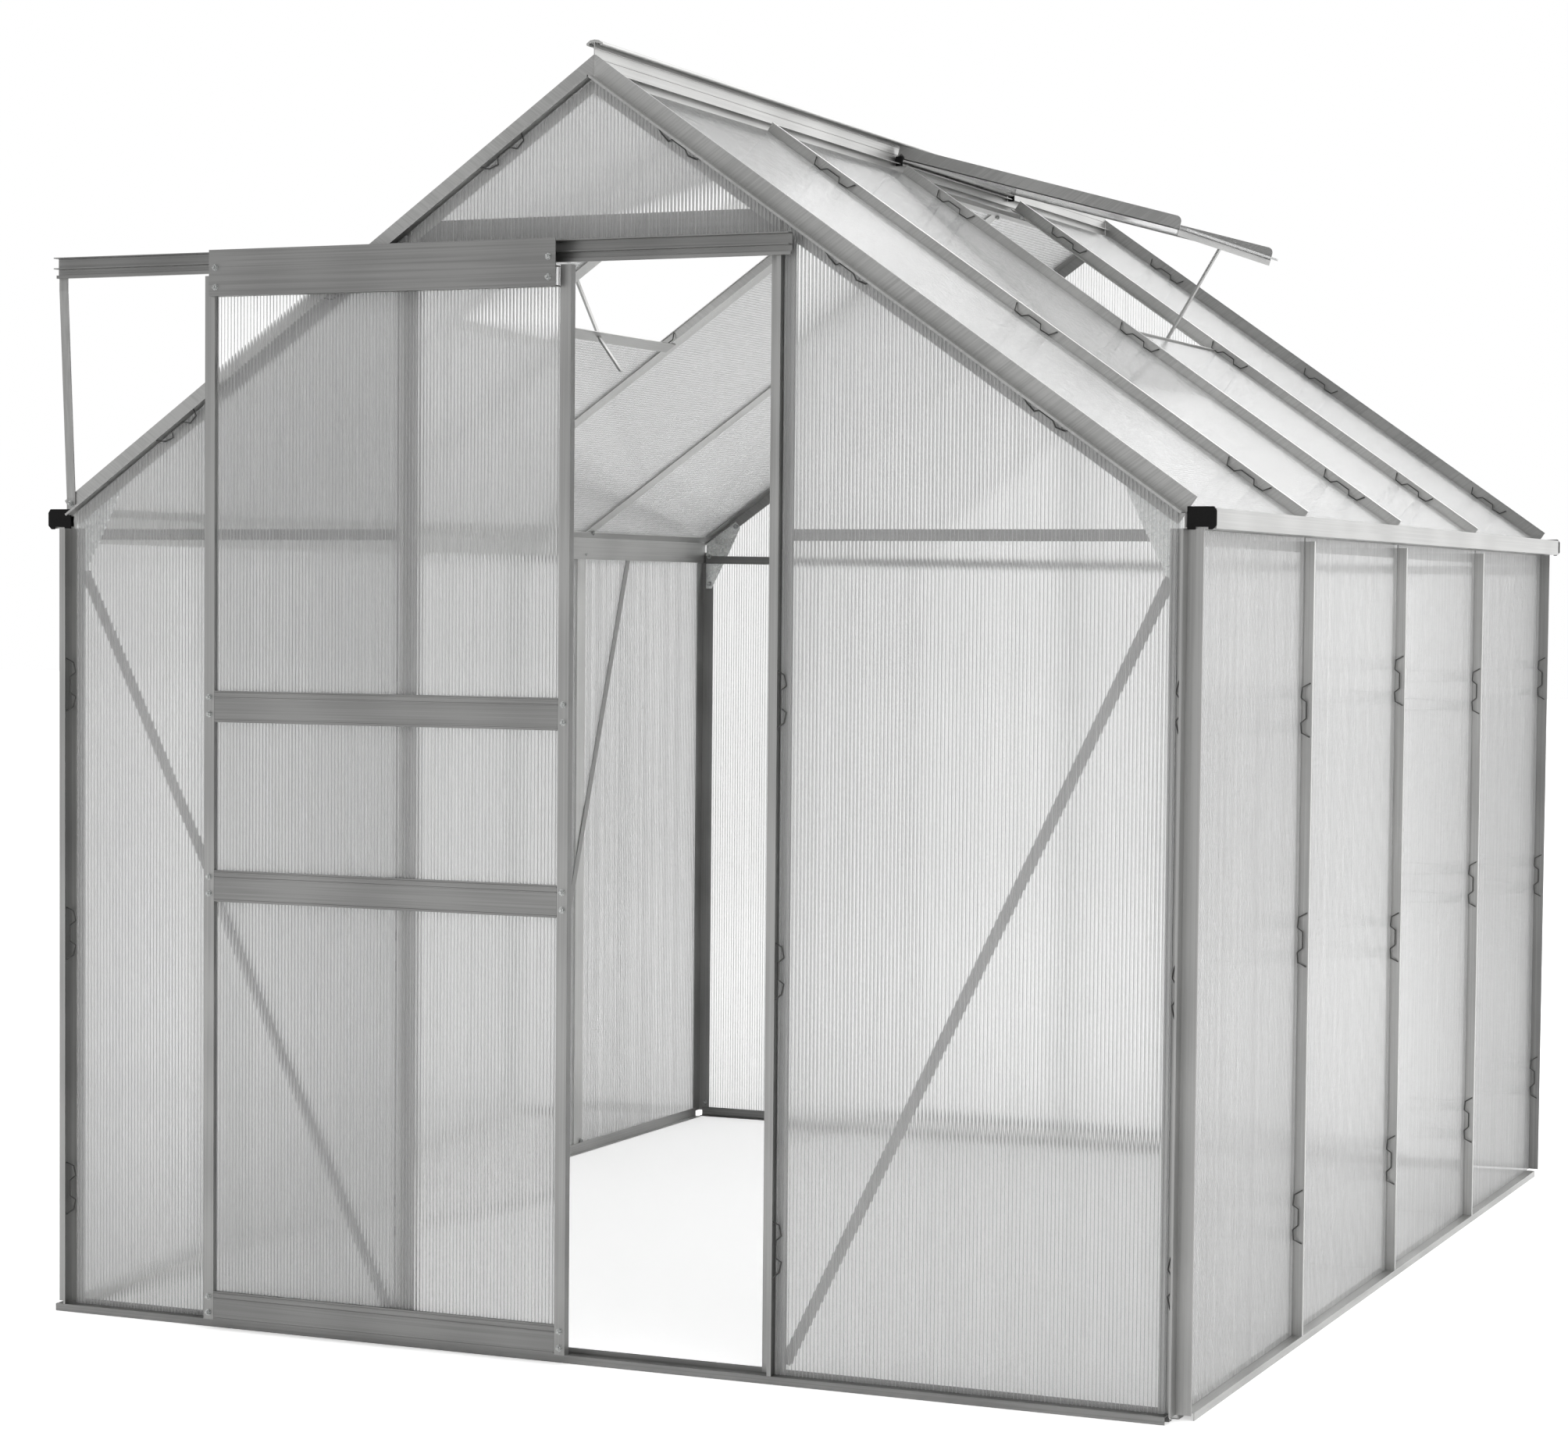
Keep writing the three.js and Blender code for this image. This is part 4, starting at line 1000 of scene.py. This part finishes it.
# %% Ridge beads and hinge stops
UPPER_BEAD = (METAL / 2, 0.0125, 0.0013)  # from the web's middle, below the top, and radius
LOWER_BEAD = (METAL / 2, 0.0275, 0.0008)
ROLLED_EDGE = (0.0115, 0.0068, 0.0026)
STOP_GAP = 0.002
STOP_DEPTH = 0.004
ridge_low, ridge_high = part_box("ridge")
bm = bmesh.new()
for _, way in SIDES:
    for across, drop, radius in (UPPER_BEAD, LOWER_BEAD, ROLLED_EDGE):
        at = Vector((way * across, 0, ridge_high.z - drop))
        rod(bm, at + Y * (ridge_low.y + 0.001), at + Y * (ridge_high.y - 0.001), radius)
piece("ridge_beads", bm, [pull_y])

bm = bmesh.new()
for side, way in SIDES:
    low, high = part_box(f"{side}_roof_vent")
    for y, out in ((low.y, -1), (high.y, 1)):
        at = Vector((way * 0.002, y + out * STOP_GAP, ridge_seat + 0.010))
        depth = -STOP_DEPTH * out * way  # the plane's third direction is -Y times the way
        prism(bm, axes(at, X * way, Z), rectangle(0, 0.013, -0.004, 0.014), depth, 0.0006)
piece("ridge_hinge_stops", bm, [black])
print("ridge dressed")

# %% [markdown]
# ## Door details
# The rails of the door have a bead along each edge, bolts hold them to the stiles in pairs, and two
# screws at each side hold the hanger. The beads could belong to the rails' outlines, but those are
# packed plain, so they are rods half sunk in the face. All of it rides on the door.

# %% Door beads and bolts
door_places = []
bm = bmesh.new()
stile_low, stile_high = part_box("door_right_stile")
door_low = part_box("door_left_stile")[0]
door_face = stile_low.y
BEAD = 0.0011
for rail in ("door_upper_rail", "door_lower_rail", "door_foot_rail"):
    low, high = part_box(rail)
    for z in (low.z + 0.003, high.z - 0.003, high.z - 0.011):
        rod(bm, Vector((low.x, low.y, z)), Vector((high.x, low.y, z)), BEAD, 8)
    rise = (high.z - low.z) / 2
    for x in ((stile_low.x + stile_high.x) / 2, door_low.x + (stile_high.x - stile_low.x) / 2):
        for lift in (-0.3 * rise - 0.005, 0.3 * rise + 0.007):
            door_places.append((Vector((x, door_face, low.z + rise + lift)), -Y))
piece("door_rail_beads", bm, [pull_x], "door")

hanger_low, hanger_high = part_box("door_hanger")
for x in (hanger_low.x + 0.012, hanger_high.x - 0.012):
    for z in (hanger_low.z + 0.014, hanger_low.z + 0.045):
        door_places.append((Vector((x, hanger_low.y, z)), -Y))
bolts("door_bolts", door_places, "door")
print("door bolts:", len(door_places))

# %% [markdown]
# ## The studio floor
# The greenhouse stands on a plain pale floor that fades into the backdrop. Lit white paint alone would
# come out grey in the shade, so the paint also glows: strongly to the camera, and weakly to the
# greenhouse, which would otherwise be lit from below. The floor is stage and doesn't belong to the
# greenhouse.

# %% Floor
bm = bmesh.new()
bmesh.ops.create_grid(bm, x_segments=1, y_segments=1, size=40)
mesh = bpy.data.meshes.new("studio_floor")
bm.to_mesh(mesh)
bm.free()
floor = bpy.data.objects.new("studio_floor", mesh)
floor.location.z = cad_box[0].z - 0.0005
bpy.context.scene.collection.objects.link(floor)
paint, tree, shader, place = start_material("studio floor", 0.0, 0.9)
grain = node(tree, "TexNoise", {"Vector": place, "Scale": 2.0, "Detail": 2.0})
white = blend_colours(tree, grain.outputs["Fac"], (0.93, 0.93, 0.93), (0.96, 0.96, 0.96))
tree.links.new(white, shader.inputs["Base Color"])
seen = node(tree, "LightPath").outputs["Is Camera Ray"]
glow = blend_colours(tree, seen, (0.36, 0.36, 0.36), (1.0, 1.0, 1.0))
tree.links.new(glow, shader.inputs["Emission Color"])
shader.inputs["Emission Strength"].default_value = 0.5
floor.data.materials.append(paint)
print("floor at:", round(floor.location.z, 4))

# %% [markdown]
# ## Sky and lights
# Metal and clear plastic only show their shape by what they mirror. A single grey sky would flatten
# them, so it is darker on the camera's side, which gives the faces turned to the camera their grey, and
# brighter behind and to the right, which lights the panes through. The camera itself sees plain white.

# %% Sky
SKY_LEVEL = 1.06
SKY_LEAN = (0.24, 0.36, 0.0)  # how much brighter the sky gets to the right and to the rear
scene = bpy.context.scene
scene.view_settings.view_transform = "Standard"
scene.cycles.transparent_max_bounces = 64
scene.cycles.max_bounces = 8
scene.cycles.diffuse_bounces = 2
scene.cycles.glossy_bounces = 3
scene.cycles.transmission_bounces = 6
world = bpy.data.worlds.new("studio")
scene.world = world
world.use_nodes = True
sky = world.node_tree
backdrop = sky.nodes["Background"]
direction = node(sky, "TexCoord").outputs["Generated"]
parts = node(sky, "SeparateXYZ", {"Vector": direction})
lean = node(sky, "VectorMath", {0: direction, 1: SKY_LEAN}, operation="DOT_PRODUCT")
facing = node(sky, "Math", {0: lean.outputs["Value"], 1: SKY_LEVEL}, operation="ADD")
climb = {"Value": parts.outputs["Z"], "From Min": -0.2, "To Min": 0.92, "To Max": 1.04}
height = node(sky, "MapRange", climb)
both = node(sky, "Math", {0: facing.outputs[0], 1: height.outputs[0]}, operation="MULTIPLY")
seen = node(sky, "LightPath").outputs["Is Camera Ray"]
strength = node(sky, "Mix", data_type="FLOAT")
sky.links.new(seen, strength.inputs["Factor"])
sky.links.new(both.outputs[0], strength.inputs["A"])
strength.inputs["B"].default_value = 1.0
sky.links.new(strength.outputs[0], backdrop.inputs["Strength"])
backdrop.inputs["Color"].default_value = (1, 1, 1, 1)
print("sky from front to rear:", round(SKY_LEVEL - SKY_LEAN[1], 2), "to", round(SKY_LEVEL + SKY_LEAN[1], 2))

# %% [markdown]
# Two large soft lamps add a gentle direction. A sun would draw hard shadows through the clear sheets,
# and a disk as wide as the greenhouse draws none.

# %% Lamps


def soft_light(name, at, aim, size, power):
    light = bpy.data.lights.new(name, "AREA")
    light.shape = "DISK"
    light.size = size
    light.energy = power
    obj = bpy.data.objects.new(name, light)
    obj.location = at
    obj.rotation_mode = "QUATERNION"
    obj.rotation_quaternion = (Vector(aim) - Vector(at)).to_track_quat("-Z", "Y")
    bpy.context.scene.collection.objects.link(obj)


soft_light("key", (5.0, -4.5, 5.5), (0, 0, 1), 4.0, 80)
soft_light("rim", (1.0, 6.0, 5.0), (0, 0, 1), 5.0, 60)

# %% [markdown]
# ## Camera
# The camera stands in front and to the right, at chest height, and looks slightly down with a hint of
# roll. It could be aimed with a tracking constraint, but that leaves no place for the roll, so its
# three axes are worked out. A long lens keeps the uprights nearly parallel.

# %% Camera
CAMERA_AT = Vector((2.4226, -6.1868, 1.1795))
YAW = math.radians(-23.68)
PITCH = math.radians(2.693)  # down
ROLL = math.radians(0.499)
forward = (X * math.sin(YAW) + Y * math.cos(YAW)) * math.cos(PITCH) - Z * math.sin(PITCH)
level = Vector((math.cos(YAW), -math.sin(YAW), 0))
above = level.cross(forward)
right = level * math.cos(ROLL) + above * math.sin(ROLL)
upward = above * math.cos(ROLL) - level * math.sin(ROLL)

camera = bpy.data.cameras.new("camera")
camera.lens = 82.45
camera.shift_x = 0.0281
camera.shift_y = 0.0303
camera.clip_end = 200
eye = bpy.data.objects.new("camera", camera)
turn = Matrix((right, upward, -forward)).transposed().to_4x4()
eye.matrix_world = Matrix.Translation(CAMERA_AT) @ turn
scene.collection.objects.link(eye)
scene.camera = eye
print("camera:", round((CAMERA_AT - middle("ridge")).length, 2), "from the ridge")
